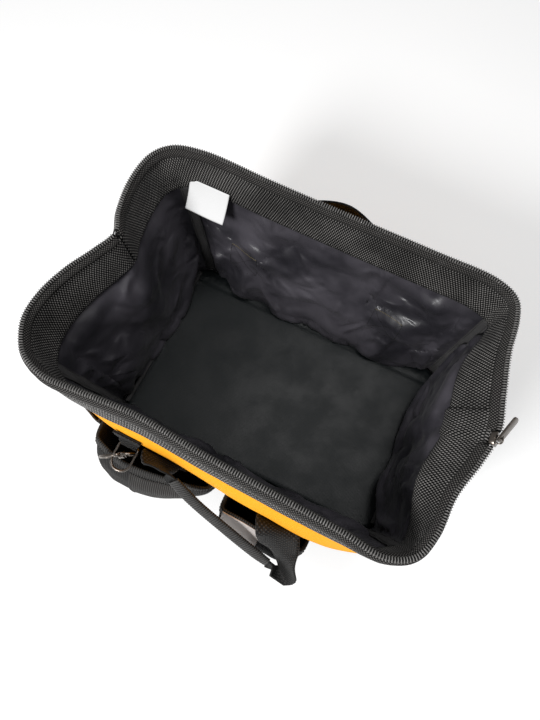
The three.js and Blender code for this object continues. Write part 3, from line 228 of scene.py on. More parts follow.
class Weave(Enum):
    """How a cloth's threads show."""

    PLAIN = "plain"
    MESH = "mesh"
    RIBS_ACROSS = "ribs across"
    RIBS_ALONG = "ribs along"
    TWILL = "twill"


@dataclass(frozen=True)
class Cloth:
    """A woven finish: dark gaps, lighter thread crowns, soft blotches and dusty high places."""

    name: str
    slot: str
    gap: Colour
    crown: Colour
    weave: Weave = Weave.PLAIN
    pitch_along: float = 0.8
    pitch_across: float = 0.8
    relief: float = 0.15
    roughness: float = 0.85
    sheen: float = 0.03
    shine: float = 0.14
    blotch: float = 0.25
    dust: Colour = (0.2, 0.2, 0.2)
    dust_share: float = 0.12

    def threads(self, graph: Graph) -> Value:
        """Height of the threads from 0 to 1 over the flat cloth."""
        along, across = graph.flat()
        turn = math.pi / MM
        first = along * (turn / self.pitch_along)
        second = across * (turn / self.pitch_across)
        if self.weave is Weave.RIBS_ACROSS:
            return first.sine().absolute()
        if self.weave is Weave.RIBS_ALONG:
            return second.sine().absolute()
        if self.weave is Weave.TWILL:
            return (first + second).sine().absolute()
        crossing = first.sine() * second.sine()
        if self.weave is Weave.MESH:
            return (crossing * 1.6).highest(0.0).clamped()
        return crossing * 0.5 + 0.5

    def material(self) -> bpy.types.Material:
        """Build the finish."""
        graph = Graph(self.name)
        threads = self.threads(graph)
        wide = graph.noise(26.0, 3.0, 0.55).step(0.3, 0.72)
        uneven = graph.noise(900.0, 1.0)
        crowns = graph.blend(threads * (uneven * 0.5 + 0.7), self.gap, self.crown)
        worn = graph.noise(60.0, 4.0, 0.7).step(0.55, 0.8) * self.dust_share
        dusty = graph.blend(worn, crowns, self.dust)
        shaded = tuple(channel * (1 - self.blotch) for channel in self.gap)
        colour = graph.blend((1 - wide) * self.blotch, dusty, shaded)
        relief = graph.bump(threads + uneven * 0.3, self.relief * MM)
        return graph.close(
            {
                "Base Color": colour,
                "Roughness": (self.roughness - 0.08) + wide * 0.12,
                "Normal": relief,
                "Sheen Weight": self.sheen,
                "Sheen Roughness": 0.45,
                "Specular IOR Level": self.shine,
            }
        )


@dataclass(frozen=True)
class ShinyLining:
    """Thin coated nylon: smooth, dark and glossy, with fine creases and painted highlights along their ridges.
    """

    name: str = "shiny_nylon"
    slot: str = "lining"
    # deep is the nylon's own dark colour; the bright colour below it is a painted highlight for the crease
    # ridges
    deep: Colour = (0.018, 0.017, 0.022)
    painted_highlight: Colour = (0.290, 0.270, 0.310)

    def material(self) -> bpy.types.Material:
        """Build the finish."""
        graph = Graph(self.name)
        wide = graph.noise(14.0, 3.0, 0.5).step(0.3, 0.7)
        place = graph.add("ShaderNodeUVMap", {"uv_map": "flat"})
        inputs = {"Vector": place, "Scale": 26.0, "Detail": 3.0, "Roughness": 0.5, "Distortion": 0.9}
        creases = graph.add("ShaderNodeTexNoise", {"noise_type": "RIDGED_MULTIFRACTAL"}, inputs) * 0.5
        along, across = graph.flat()
        turn = math.pi / (0.55 * MM)
        threads = (along * turn).sine() * (across * turn).sine() * 0.5 + 0.5
        # Painted highlights: the colour runs from the dark nylon to the bright colour where the crease noise
        # forms ridges, over a little random tone
        colour = graph.blend(wide * 0.25 + creases.step(0.4, 0.95) * 0.75, self.deep, self.painted_highlight)
        soft = graph.bump(creases, 13 * MM, 1.0)
        weave = {"Height": threads, "Distance": 0.05 * MM, "Strength": 0.6, "Normal": soft}
        fine = graph.add("ShaderNodeBump", inputs=weave)
        return graph.close(
            {
                "Base Color": colour,
                "Roughness": 0.30 + (1 - wide) * 0.1,
                "Normal": fine,
                "Sheen Weight": 0.03,
                "Sheen Roughness": 0.4,
                "Specular IOR Level": 0.9,
            }
        )


@dataclass(frozen=True)
class Smooth:
    """A moulded, coated or spun finish without a weave: grain, small scratches and worn high places."""

    name: str
    slot: str
    colour: Colour
    worn: Colour
    roughness: float
    metallic: float = 0.0
    grain: float = 420.0
    relief: float = 0.04
    coat: float = 0.0

    def material(self) -> bpy.types.Material:
        """Build the finish."""
        graph = Graph(self.name)
        grain = graph.noise(self.grain, 4.0, 0.6)
        wear = graph.noise(self.grain * 0.35, 5.0, 0.75).step(0.52, 0.74)
        return graph.close(
            {
                "Base Color": graph.blend(wear, self.colour, self.worn),
                "Roughness": self.roughness + grain * 0.16 - 0.08,
                "Metallic": self.metallic,
                "Normal": graph.bump(grain, self.relief * MM, 0.7),
                "Coat Weight": self.coat,
            }
        )


BLACK_CANVAS = Cloth("black_canvas", "black_canvas", (0.005, 0.005, 0.0055), (0.036, 0.036, 0.038),
                     pitch_along=1.25, pitch_across=1.25, relief=0.3)
ORANGE_CANVAS = Cloth("orange_canvas", "orange_canvas", (0.88, 0.32, 0.008), (1.00, 0.47, 0.018),
                      pitch_along=1.0, pitch_across=1.0, relief=0.15, blotch=0.1, dust=(1.0, 0.5, 0.1))
GREY_CANVAS = Cloth("grey_canvas", "grey_canvas", (0.020, 0.019, 0.018), (0.085, 0.080, 0.074),
                    pitch_along=1.25, pitch_across=1.25, relief=0.3)
PAD_CLOTH = Cloth("pad_cloth", "pad_fabric", (0.003, 0.0048, 0.0052), (0.011, 0.0158, 0.0172),
                  pitch_along=1.1, pitch_across=1.1, relief=0.08, roughness=0.45, shine=0.3, blotch=0.4,
                  dust=(0.024, 0.03, 0.032))
CASING_WEBBING = Cloth("casing_webbing", "webbing", (0.001, 0.001, 0.001), (0.36, 0.345, 0.33), Weave.MESH,
                       pitch_along=1.5, pitch_across=2.9, relief=0.9, roughness=0.6, shine=0.3, blotch=0.5)
RIBBED_CANVAS = Cloth("ribbed_canvas", "black_canvas", (0.003, 0.003, 0.003), (0.036, 0.035, 0.034),
                      Weave.RIBS_ACROSS, pitch_along=2.3, relief=0.5)
STRAP_WEBBING = Cloth("strap_webbing", "webbing", (0.002, 0.002, 0.002), (0.034, 0.033, 0.032), Weave.MESH,
                      pitch_along=1.2, pitch_across=2.4, relief=0.5, roughness=0.65, shine=0.25)
RIBBED_TAPE = Cloth("ribbed_tape", "webbing", (0.001, 0.001, 0.001), (0.038, 0.036, 0.034), Weave.RIBS_ACROSS,
                    pitch_along=2.6, relief=0.6, roughness=0.6, shine=0.25)
BINDING_TAPE = Cloth("binding_tape", "webbing", (0.012, 0.012, 0.013), (0.100, 0.097, 0.097), Weave.TWILL,
                     pitch_along=1.6, pitch_across=1.6, relief=0.3)
BAND_TAPE = Cloth("band_tape", "webbing", (0.003, 0.003, 0.003), (0.070, 0.067, 0.064), Weave.RIBS_ACROSS,
                  pitch_along=2.4, relief=0.7)
ZIP_TAPE = Cloth("zip_tape", "zip_tape", (0.003, 0.003, 0.003), (0.14, 0.132, 0.125), Weave.MESH,
                 pitch_along=1.4, pitch_across=1.4, relief=0.3, shine=0.2)
CORD = Cloth("cord", "zip_tape", (0.002, 0.002, 0.002), (0.010, 0.010, 0.010), Weave.TWILL, relief=0.1)
WHITE_TAPE = Cloth("white_tape", "label_tape", (0.78, 0.78, 0.78), (0.90, 0.90, 0.90), pitch_along=0.5,
                   pitch_across=0.5, relief=0.03, roughness=0.6, blotch=0.03, dust=(0.82, 0.82, 0.8))
BLACK_THREAD = Cloth("black_thread", "webbing", (0.004, 0.004, 0.004), (0.035, 0.034, 0.033), Weave.TWILL,
                     pitch_along=0.4, pitch_across=0.4, relief=0.08, roughness=0.6)
TAN_THREAD = Cloth("tan_thread", "webbing", (0.16, 0.12, 0.05), (0.34, 0.27, 0.12), Weave.TWILL,
                   pitch_along=0.4, pitch_across=0.4, relief=0.08, roughness=0.6)
LINING = ShinyLining()
COIL_NYLON = Smooth("coil_nylon", "zip_coil", (0.15, 0.145, 0.14), (0.30, 0.29, 0.28), 0.4, coat=0.1)
PATCH_VINYL = Smooth("patch_vinyl", "grey_patch", (0.50, 0.46, 0.44), (0.56, 0.52, 0.50), 0.55, grain=260.0)
GUNMETAL = Smooth("gunmetal", "gunmetal", (0.13, 0.112, 0.098), (0.30, 0.26, 0.22), 0.28, metallic=1.0,
                  grain=500.0, relief=0.02, coat=0.2)
FINISHES = {}


def finish_of(finish: Cloth | ShinyLining | Smooth) -> bpy.types.Material:
    """The one material of a finish, made at its first use."""
    if finish.name not in FINISHES:
        FINISHES[finish.name] = finish.material()
    return FINISHES[finish.name]


# Lines and sheets


class Track:
    """A smooth line through a short table of numbers that never swings past them."""

    def __init__(self, keys: Sequence[float], values: Sequence[float]) -> None:
        """Work out the slopes at the table's rows.

        Args:
            keys: rising numbers to look up by.
            values: the number that belongs to each.
        """
        self.keys = list(keys)
        self.values = list(values)
        spans = zip(self.keys, self.keys[1:], self.values, self.values[1:])
        steps = [(high - low) / (end - start) for start, end, low, high in spans]
        inner = [0.0 if a * b <= 0 else 2 * a * b / (a + b) for a, b in zip(steps, steps[1:])]
        self.slopes = [steps[0], *inner, steps[-1]]

    def at(self, key: float) -> float:
        """Value at a key, held at the table's ends."""
        key = min(max(key, self.keys[0]), self.keys[-1])
        row = max(0, min(bisect_right(self.keys, key) - 1, len(self.keys) - 2))
        span = self.keys[row + 1] - self.keys[row]
        t = (key - self.keys[row]) / span
        low, high = self.values[row], self.values[row + 1]
        out, into = self.slopes[row] * span, self.slopes[row + 1] * span
        cube, square = t**3, t**2
        return (
            (2 * cube - 3 * square + 1) * low
            + (cube - 2 * square + t) * out
            + (3 * square - 2 * cube) * high
            + (cube - square) * into
        )


def curve_point(points: Sequence[Vector], place: float, closed: bool) -> Vector:
    """Point of a centripetal Catmull-Rom curve.

    Args:
        points: the points that the curve goes through.
        place: row number plus the share of the way to the next row.
        closed: whether the last row leads back to the first.

    Returns:
        The point.
    """
    count = len(points)
    row = int(math.floor(place))
    if closed:
        before, start, end, after = (points[(row + shift) % count] for shift in (-1, 0, 1, 2))
    else:
        row = max(0, min(row, count - 2))
        start, end = points[row], points[row + 1]
        before = points[row - 1] if row > 0 else start * 2 - end
        after = points[row + 2] if row + 2 < count else end * 2 - start
    t = place - row
    pairs = ((before, start), (start, end), (end, after))
    gaps = [max((b - a).length_squared ** 0.25, 1e-5) for a, b in pairs]
    first = (start - before) / gaps[0] - (end - before) / (gaps[0] + gaps[1]) + (end - start) / gaps[1]
    last = (end - start) / gaps[1] - (after - start) / (gaps[1] + gaps[2]) + (after - end) / gaps[2]
    out, into = first * gaps[1], last * gaps[1]
    square, cube = t * t, t**3
    return (
        start * (2 * cube - 3 * square + 1)
        + out * (cube - 2 * square + t)
        + end * (3 * square - 2 * cube)
        + into * (cube - square)
    )


def distances(points: Sequence[Sequence[float]]) -> list[float]:
    """Distance gone at each of a line's points."""
    reach = [0.0]
    for a, b in zip(points, points[1:]):
        reach.append(reach[-1] + math.dist(a, b))
    return reach


def fold_tracks(outs: Sequence[float], heights: Sequence[float]) -> tuple[Track, Track, float]:
    """Turn the rows of a folded profile into tracks over the share of its width.

    Args:
        outs: distance off the wall at each row.
        heights: height at each row.

    Returns:
        The distance track, the height track and the whole width.
    """
    reach = distances(list(zip(outs, heights)))
    shares = [r / reach[-1] for r in reach]
    return Track(shares, outs), Track(shares, heights), reach[-1]


def ease(low: float, high: float, value: float) -> float:
    """Go smoothly from 0 at low to 1 at high, which may be the lower of the two."""
    t = min(max((value - low) / (high - low), 0.0), 1.0)
    return t * t * (3 - 2 * t)


def object_from(name: str, mesh_maker: bmesh.types.BMesh) -> bpy.types.Object:
    """Turn a finished bmesh into an object of the scene."""
    mesh = bpy.data.meshes.new(name)
    mesh_maker.to_mesh(mesh)
    mesh_maker.free()
    piece = bpy.data.objects.new(name, mesh)
    bpy.context.scene.collection.objects.link(piece)
    mesh.shade_smooth()
    return piece


def lay_sheet(name: str, cells: tuple[int, int], size: tuple[float, float], spot: Spot,
              seam: bool = False) -> bpy.types.Object:
    """Lay a flat grid of cloth onto a curved place.

    Args:
        name: the piece's name.
        cells: how many faces along and across.
        size: the flat cloth's length and width in metres.
        spot: where a share along and a share across goes.
        seam: whether edges that meet are sewn into one.

    Returns:
        The sheet, with its flat size kept in its "flat" map.
    """
    cloth = bmesh.new()
    bmesh.ops.create_grid(cloth, x_segments=cells[0], y_segments=cells[1], size=0.5)
    flat = cloth.loops.layers.uv.new("flat")
    for face in cloth.faces:
        for loop in face.loops:
            loop[flat].uv = ((loop.vert.co.x + 0.5) * size[0], (loop.vert.co.y + 0.5) * size[1])
    for vert in cloth.verts:
        vert.co = spot(vert.co.x + 0.5, vert.co.y + 0.5)
    if seam:
        bmesh.ops.remove_doubles(cloth, verts=cloth.verts, dist=1e-6)
    return object_from(name, cloth)


def thicken(piece: bpy.types.Object, thickness: float, offset: float = 0.0) -> None:
    """Give a sheet its thickness in metres; offset -1 keeps its face, 0 its middle, 1 its back."""
    solid = piece.modifiers.new("thickness", "SOLIDIFY")
    solid.thickness = thickness
    solid.offset = offset
    solid.use_even_offset = False
    solid.use_quality_normals = True


def lay_tube(name: str, run: Run, radius: float, sides: int = 10, closed: bool = False,
             wobble: float = 0.0) -> bpy.types.Object:
    """Roll a tube of cloth or cord round a line.

    Args:
        name: the piece's name.
        run: points of the line, each with a direction square to it.
        radius: in metres.
        sides: faces round the tube.
        closed: whether the line's last point is its first.
        wobble: the most that the radius varies, in metres.

    Returns:
        The tube.
    """
    count = len(run)
    length = sum((b[0] - a[0]).length for a, b in zip(run, run[1:]))

    def spot(u: float, v: float) -> Vector:
        """Place a share along and round the tube."""
        row = min(int(round(u * (count - 1))), count - 1)
        centre, up = run[row]
        ahead, behind = run[min(row + 1, count - 1)][0], run[max(row - 1, 0)][0]
        if closed and row in (0, count - 1):
            ahead, behind = run[1][0], run[-2][0]
        along = (ahead - behind).normalized()
        side = along.cross(up).normalized()
        above = side.cross(along)
        angle = 2 * math.pi * v
        uneven = wobble * noise.noise(centre * 90) if wobble else 0.0
        return centre + (side * math.sin(angle) + above * math.cos(angle)) * (radius + uneven)

    piece = lay_sheet(name, (count - 1, sides), (length, 2 * math.pi * radius), spot, seam=True)
    if not closed:
        shape = bmesh.new()
        shape.from_mesh(piece.data)
        bmesh.ops.holes_fill(shape, edges=[edge for edge in shape.edges if edge.is_boundary], sides=0)
        bmesh.ops.recalc_face_normals(shape, faces=shape.faces)
        shape.to_mesh(piece.data)
        shape.free()
        piece.data.shade_smooth()
    return piece


def walk(run: Run, pitch: float, inset: float = 0.0) -> Iterator[tuple[Vector, Vector, Vector]]:
    """Even steps along a line.

    Args:
        run: points of the line, each with a direction square to it.
        pitch: the wanted step in metres.
        inset: how far from either end the steps begin.

    Yields:
        Each step's place, running direction and square direction.
    """
    reach = [0.0]
    for (a, _), (b, _) in zip(run, run[1:]):
        reach.append(reach[-1] + (b - a).length)
    usable = reach[-1] - 2 * inset
    count = max(1, int(round(usable / pitch)))
    for step in range(count):
        distance = inset + (step + 0.5) * usable / count
        row = max(0, min(bisect_right(reach, distance) - 1, len(run) - 2))
        share = (distance - reach[row]) / max(reach[row + 1] - reach[row], 1e-9)
        (a, up_a), (b, up_b) = run[row], run[row + 1]
        along = (b - a).normalized()
        yield a.lerp(b, share), along, up_a.lerp(up_b, share).normalized()


def beads(name: str, spots: Sequence[tuple[Vector, Vector, Vector]], size: tuple[float, float, float],
          rings: tuple[int, int] = (6, 4)) -> bpy.types.Object:
    """Set one small rounded bead at each spot: a stitch or a tooth.

    Args:
        name: the piece's name.
        spots: places with their running and square directions.
        size: length along, width across and height in metres.
        rings: faces round and along each bead.

    Returns:
        All beads as one piece.
    """
    single = bmesh.new()
    bmesh.ops.create_uvsphere(single, u_segments=rings[0], v_segments=rings[1], radius=0.5,
                              matrix=Matrix.Diagonal((*size, 1.0)) @ Matrix.Rotation(math.pi / 2, 4, "Y"))
    flat = single.loops.layers.uv.new("flat")
    for face in single.faces:
        for loop in face.loops:
            loop[flat].uv = loop.vert.co.xy
    bead = bpy.data.meshes.new(f"{name}_single")
    single.to_mesh(bead)
    single.free()
    shape = bmesh.new()
    for place, along, up in spots:
        side = up.cross(along).normalized()
        turn = Matrix((along, side, along.cross(side))).transposed().to_4x4()
        placed = bead.copy()
        placed.transform(Matrix.Translation(place) @ turn)
        shape.from_mesh(placed)
        bpy.data.meshes.remove(placed)
    bpy.data.meshes.remove(bead)
    return object_from(name, shape)


def crumple(piece: bpy.types.Object, held: Callable[[Vector], float], slack: float,
            reach: tuple[float, float], steps: int = 24, stiffness: float = 0.4, gravity: float = 0.25) -> None:
    """Let loose cloth buckle between its seams, and keep each point near where it lay.

    Args:
        piece: a sheet without thickness.
        held: how firmly a point is sewn down, from 0 to 1.
        slack: how much longer the cloth is than its place, as a share.
        reach: how far a point may move against and along its face's direction, in metres.
        steps: frames of simulation.
        stiffness: resistance to bending.
        gravity: share of gravity that acts.
    """
    scene = bpy.context.scene
    mesh = piece.data
    rest = [(vert.co.copy(), vert.normal.copy()) for vert in mesh.vertices]
    group = piece.vertex_groups.new(name="seams")
    for vert in mesh.vertices:
        weight = held(vert.co)
        if weight > 0:
            group.add([vert.index], weight, "REPLACE")
    cloth = piece.modifiers.new("drape", "CLOTH")
    settings = cloth.settings
    settings.quality = 6
    settings.mass = 0.12
    settings.tension_stiffness = settings.compression_stiffness = 12
    settings.shear_stiffness = 4
    settings.bending_stiffness = stiffness
    settings.vertex_group_mass = "seams"
    settings.shrink_min = settings.shrink_max = -slack
    settings.effector_weights.gravity = gravity
    cloth.point_cache.frame_start = 1
    cloth.point_cache.frame_end = steps
    for number in range(1, steps + 1):
        scene.frame_set(number)
    settled = piece.evaluated_get(bpy.context.evaluated_depsgraph_get())
    moved = [vert.co.copy() for vert in settled.data.vertices]
    piece.modifiers.remove(cloth)
    scene.frame_set(1)
    against, forward = reach
    for vert, (start, normal), end in zip(mesh.vertices, rest, moved):
        shift = end - start
        rise = shift.dot(normal)
        slide = shift - normal * rise
        slide *= min(1.0, SLIDE_LIMIT / max(slide.length, 1e-9))
        limit = forward if rise > 0 else max(against, 1e-9)
        kept = limit * math.tanh(rise / limit)
        vert.co = start + slide + normal * kept
    mesh.update()


# The shell


class Side(Enum):
    """The four walls, in order round the bag."""

    FRONT = 0
    RIGHT = 1
    BACK = 2
    LEFT = 3


RIM_ROWS = {
    Side.FRONT: ((-0.911, -0.882), (-0.796, -0.952), (-0.610, -0.938), (-0.361, -0.910), (-0.055, -0.938),
                 (0.264, -0.958), (0.590, -0.979), (0.770, -1.000)),
    Side.RIGHT: ((0.867, -0.924), (0.914, -0.751), (0.929, -0.481), (0.975, -0.225), (1.000, 0.003),
                 (0.969, 0.232), (0.925, 0.529), (0.904, 0.772)),
    Side.BACK: ((0.867, 0.912), (0.769, 0.981), (0.481, 0.986), (0.070, 0.982), (-0.344, 0.982),
                (-0.694, 0.986)),
    Side.LEFT: ((-0.840, 0.924), (-0.906, 0.799), (-0.925, 0.557), (-0.892, 0.290), (-0.849, 0.135),
                (-0.890, -0.040), (-0.955, -0.253), (-0.996, -0.481), (-0.996, -0.668), (-0.965, -0.779)),
}
OUTWARD = {Side.FRONT: (0, -1), Side.RIGHT: (1, 0), Side.BACK: (0, 1), Side.LEFT: (-1, 0)}
PROFILE_HEIGHTS = (0.00, 0.12, 0.30, 0.50, 0.66, 0.77, 0.90, 1.00)
PROFILE_LEAN = (0.00, 0.05, 0.18, 0.38, 0.58, 0.72, 0.90, 1.00)
PROFILE_BULGE = {
    Side.FRONT: (0.00, 0.34, 0.76, 1.00, 0.96, 0.70, 0.25, 0.00),
    Side.RIGHT: (0.00, 0.22, 0.55, 0.80, 0.98, 1.00, 0.45, 0.00),
    Side.BACK: (0.00, 0.40, 0.90, 1.00, 0.50, 0.10, 0.00, 0.00),
    Side.LEFT: (0.00, 0.50, 1.00, 0.80, 0.40, 0.20, 0.05, 0.00),
}
BELLY = {Side.FRONT: 26 * MM, Side.RIGHT: -24 * MM, Side.BACK: 5 * MM, Side.LEFT: -6 * MM}


@dataclass
class Shell:
    """The bag's soft wall as one smooth surface, from the base outline up to the mouth."""

    base_length: float = 388 * MM
    base_depth: float = 248 * MM
    squareness: float = 14
    foot: float = 3.3 * MM
    rim: float = 250 * MM
    top: float = 238 * MM
    rim_length: float = 451 * MM
    rim_depth: float = 289 * MM
    rim_shift: tuple[float, float] = (-13.5 * MM, 4.5 * MM)
    belly_skew: float = 0.35
    slump_depth: float = 3.2 * MM
    canvas: float = 1.8 * MM
    lining: float = 1.0 * MM
    half_gap: float = 0.15 * MM
    samples: int = 1600
    low: list[Vector] = field(default_factory=list)
    high: list[Vector] = field(default_factory=list)
    lines: dict[tuple[Side, int], Track] = field(default_factory=dict)

    def __post_init__(self) -> None:
        """Sample both outlines."""
        rows = [row for side in Side for row in RIM_ROWS[side]]
        shift_x, shift_y = self.rim_shift
        half_length, half_depth = self.rim_length / 2, self.rim_depth / 2
        rim = [Vector((shift_x + x * half_length, shift_y + y * half_depth, 0)) for x, y in rows]
        base = [self.base_point(x, y) for x, y in rows]
        starts = [sum(len(RIM_ROWS[Side(n)]) for n in range(side.value)) for side in Side]
        for sample in range(self.samples + 1):
            side, along = divmod(4 * sample / self.samples % 4, 1)
            place = starts[int(side)] + along * len(RIM_ROWS[Side(int(side))])
            self.low.append(curve_point(base, place, True))
            self.high.append(curve_point(rim, place, True))
        self.lean = Track(PROFILE_HEIGHTS, PROFILE_LEAN)
        self.bulge = {side: Track(PROFILE_HEIGHTS, PROFILE_BULGE[side]) for side in Side}

    def base_point(self, x: float, y: float, margin: float = 0.0) -> Vector:
        """Point of the base outline in a direction, pushed outwards by a margin."""
        reach = (abs(x) ** self.squareness + abs(y) ** self.squareness) ** (1 / self.squareness)
        half_length, half_depth = self.base_length / 2 + margin, self.base_depth / 2 + margin
        return Vector((x / reach * half_length, y / reach * half_depth, 0))

    def bare(self, place: float, z: float) -> Vector:
        """Point of the wall before its slumps."""
        place %= 4
        side = Side(int(place))
        along = place - side.value
        share = (z - self.foot) / (self.rim - self.foot)
        plateau = ease(0, 0.35, along) * ease(0, 0.35, 1 - along)
        skew = 1 + self.belly_skew * (2 * along - 1) if side is Side.FRONT else 1
        belly = BELLY[side] * self.bulge[side].at(share) * plateau * skew
        index = place / 4 * self.samples
        row = int(index)
        low = self.low[row].lerp(self.low[row + 1], index - row)
        high = self.high[row].lerp(self.high[row + 1], index - row)
        point = low.lerp(high, self.lean.at(share))
        out = OUTWARD[side]
        return Vector((point.x + out[0] * belly, point.y + out[1] * belly, z))

    def slump(self, place: float, z: float) -> float:
        """How far the wall sags inwards of its smooth form."""
        place %= 4
        along = place - int(place)
        share = (z - self.foot) / (self.rim - self.foot)
        window = ease(0.02, 0.2, along) * ease(0.02, 0.2, 1 - along)
        window = window * ease(0, 0.15, share) * ease(0.22, 0.4, 1 - share)
        if window == 0:
            return 0.0
        wide = noise.noise(Vector((place * 6.1, z * 17, 3.7)))
        lobes = wide + 0.5 * noise.noise(Vector((place * 15, z * 30, 9.1)))
        return self.slump_depth * window * min(max(0.5 + lobes, 0.0), 1.3)

    def point(self, place: float, z: float, out: float = 0.0) -> Vector:
        """Point of the wall, pushed outwards by a distance."""
        normal = self.normal(place, z)
        return self.bare(place, z) + normal * (out - self.slump(place, z))

    def normal(self, place: float, z: float) -> Vector:
        """Level direction straight out of the wall."""
        along = self.bare(place + 0.004, z) - self.bare(place - 0.004, z)
        return Vector((along.y, -along.x, 0)).normalized()

    def even(self, start: float, end: float, z: float) -> tuple[Track, float]:
        """Turn shares of the way along the wall into places.

        Args:
            start: first place.
            end: last place.
            z: height at which distances are measured.

        Returns:
            The track from share to place, and the whole length.
        """
        count = 120
        places = [start + (end - start) * step / count for step in range(count + 1)]
        points = [self.bare(place, z) for place in places]
        reach = [0.0]
        for a, b in zip(points, points[1:]):
            reach.append(reach[-1] + (b - a).length)
        return Track([distance / reach[-1] for distance in reach], places), reach[-1]

    def wall_line(self, side: Side, level: int) -> Track:
        """Distance y over x along a long side, at a height in half millimetres."""
        if (side, level) not in self.lines:
            self.lines[side, level] = self.measured_line(side, level)
        return self.lines[side, level]

    def measured_line(self, side: Side, level: int) -> Track:
        """Work out one wall line."""
        z = level * 0.5 * MM
        points = [self.point(side.value + 0.001 + 0.998 * step / 90, z) for step in range(91)]
        points = sorted(((p.x, p.y) for p in points), key=lambda p: p[0])
        kept = [points[0]]
        for x, y in points[1:]:
            if x > kept[-1][0] + 1e-5:
                kept.append((x, y))
        return Track([x for x, _ in kept], [y for _, y in kept])

    def line_y(self, side: Side, x: float, z: float, out: float) -> float:
        """Where a line straight out of a long side meets the wall, moved outwards by a distance."""
        y = self.wall_line(side, round(max(z, self.foot) / (0.5 * MM))).at(x)
        return y + OUTWARD[side][1] * out

    @property
    def face(self) -> float:
        """How far the canvas's outer face lies off the wall surface."""
        return self.half_gap + self.canvas


# Sub-assemblies


@dataclass
class SubAssembly:
    """A group of pieces that are built and dressed together."""

    shell: Shell

    def dress(self, piece: bpy.types.Object, finish: Cloth | ShinyLining | Smooth, *nodes: str,
              body: str = "bag") -> bpy.types.Object:
        """Give a piece its material, its body and the nodes it stands for.

        Args:
            piece: the finished piece.
            finish: what it is made of.
            nodes: the solids that it replaces.
            body: the body that it rides on.

        Returns:
            The piece.
        """
        piece.data.materials.clear()
        piece.data.materials.append(finish_of(finish))
        if nodes:
            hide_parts(*nodes)
        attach(piece, body)
        LOG.info("%s: %d faces, %s", piece.name, len(piece.data.polygons), finish.name)
        return piece

    def wall_run(self, start: float, end: float, z: float, out: float, steps: int = 160) -> Run:
        """A level line along the wall."""
        even, _ = self.shell.even(start, end, z)
        places = [even.at(step / steps) for step in range(steps + 1)]
        return [(self.shell.point(place, z, out), self.shell.normal(place, z)) for place in places]

    def upright_run(self, place: float, low: float, high: float, out: float, steps: int = 40) -> Run:
        """A line up the wall."""
        heights = [low + (high - low) * step / steps for step in range(steps + 1)]
        return [(self.shell.point(place, z, out), self.shell.normal(place, z)) for z in heights]

    def stitch(self, name: str, runs: Sequence[Run], finish: Cloth = BLACK_THREAD, pitch: float = 3.4 * MM,
               inset: float = 1 * MM) -> bpy.types.Object:
        """Sew rows of stitches along lines."""
        spots = [spot for run in runs for spot in walk(run, pitch, inset)]
        size = (pitch * 0.76, 0.75 * MM, 0.6 * MM)
        return self.dress(beads(name, spots, size), finish)


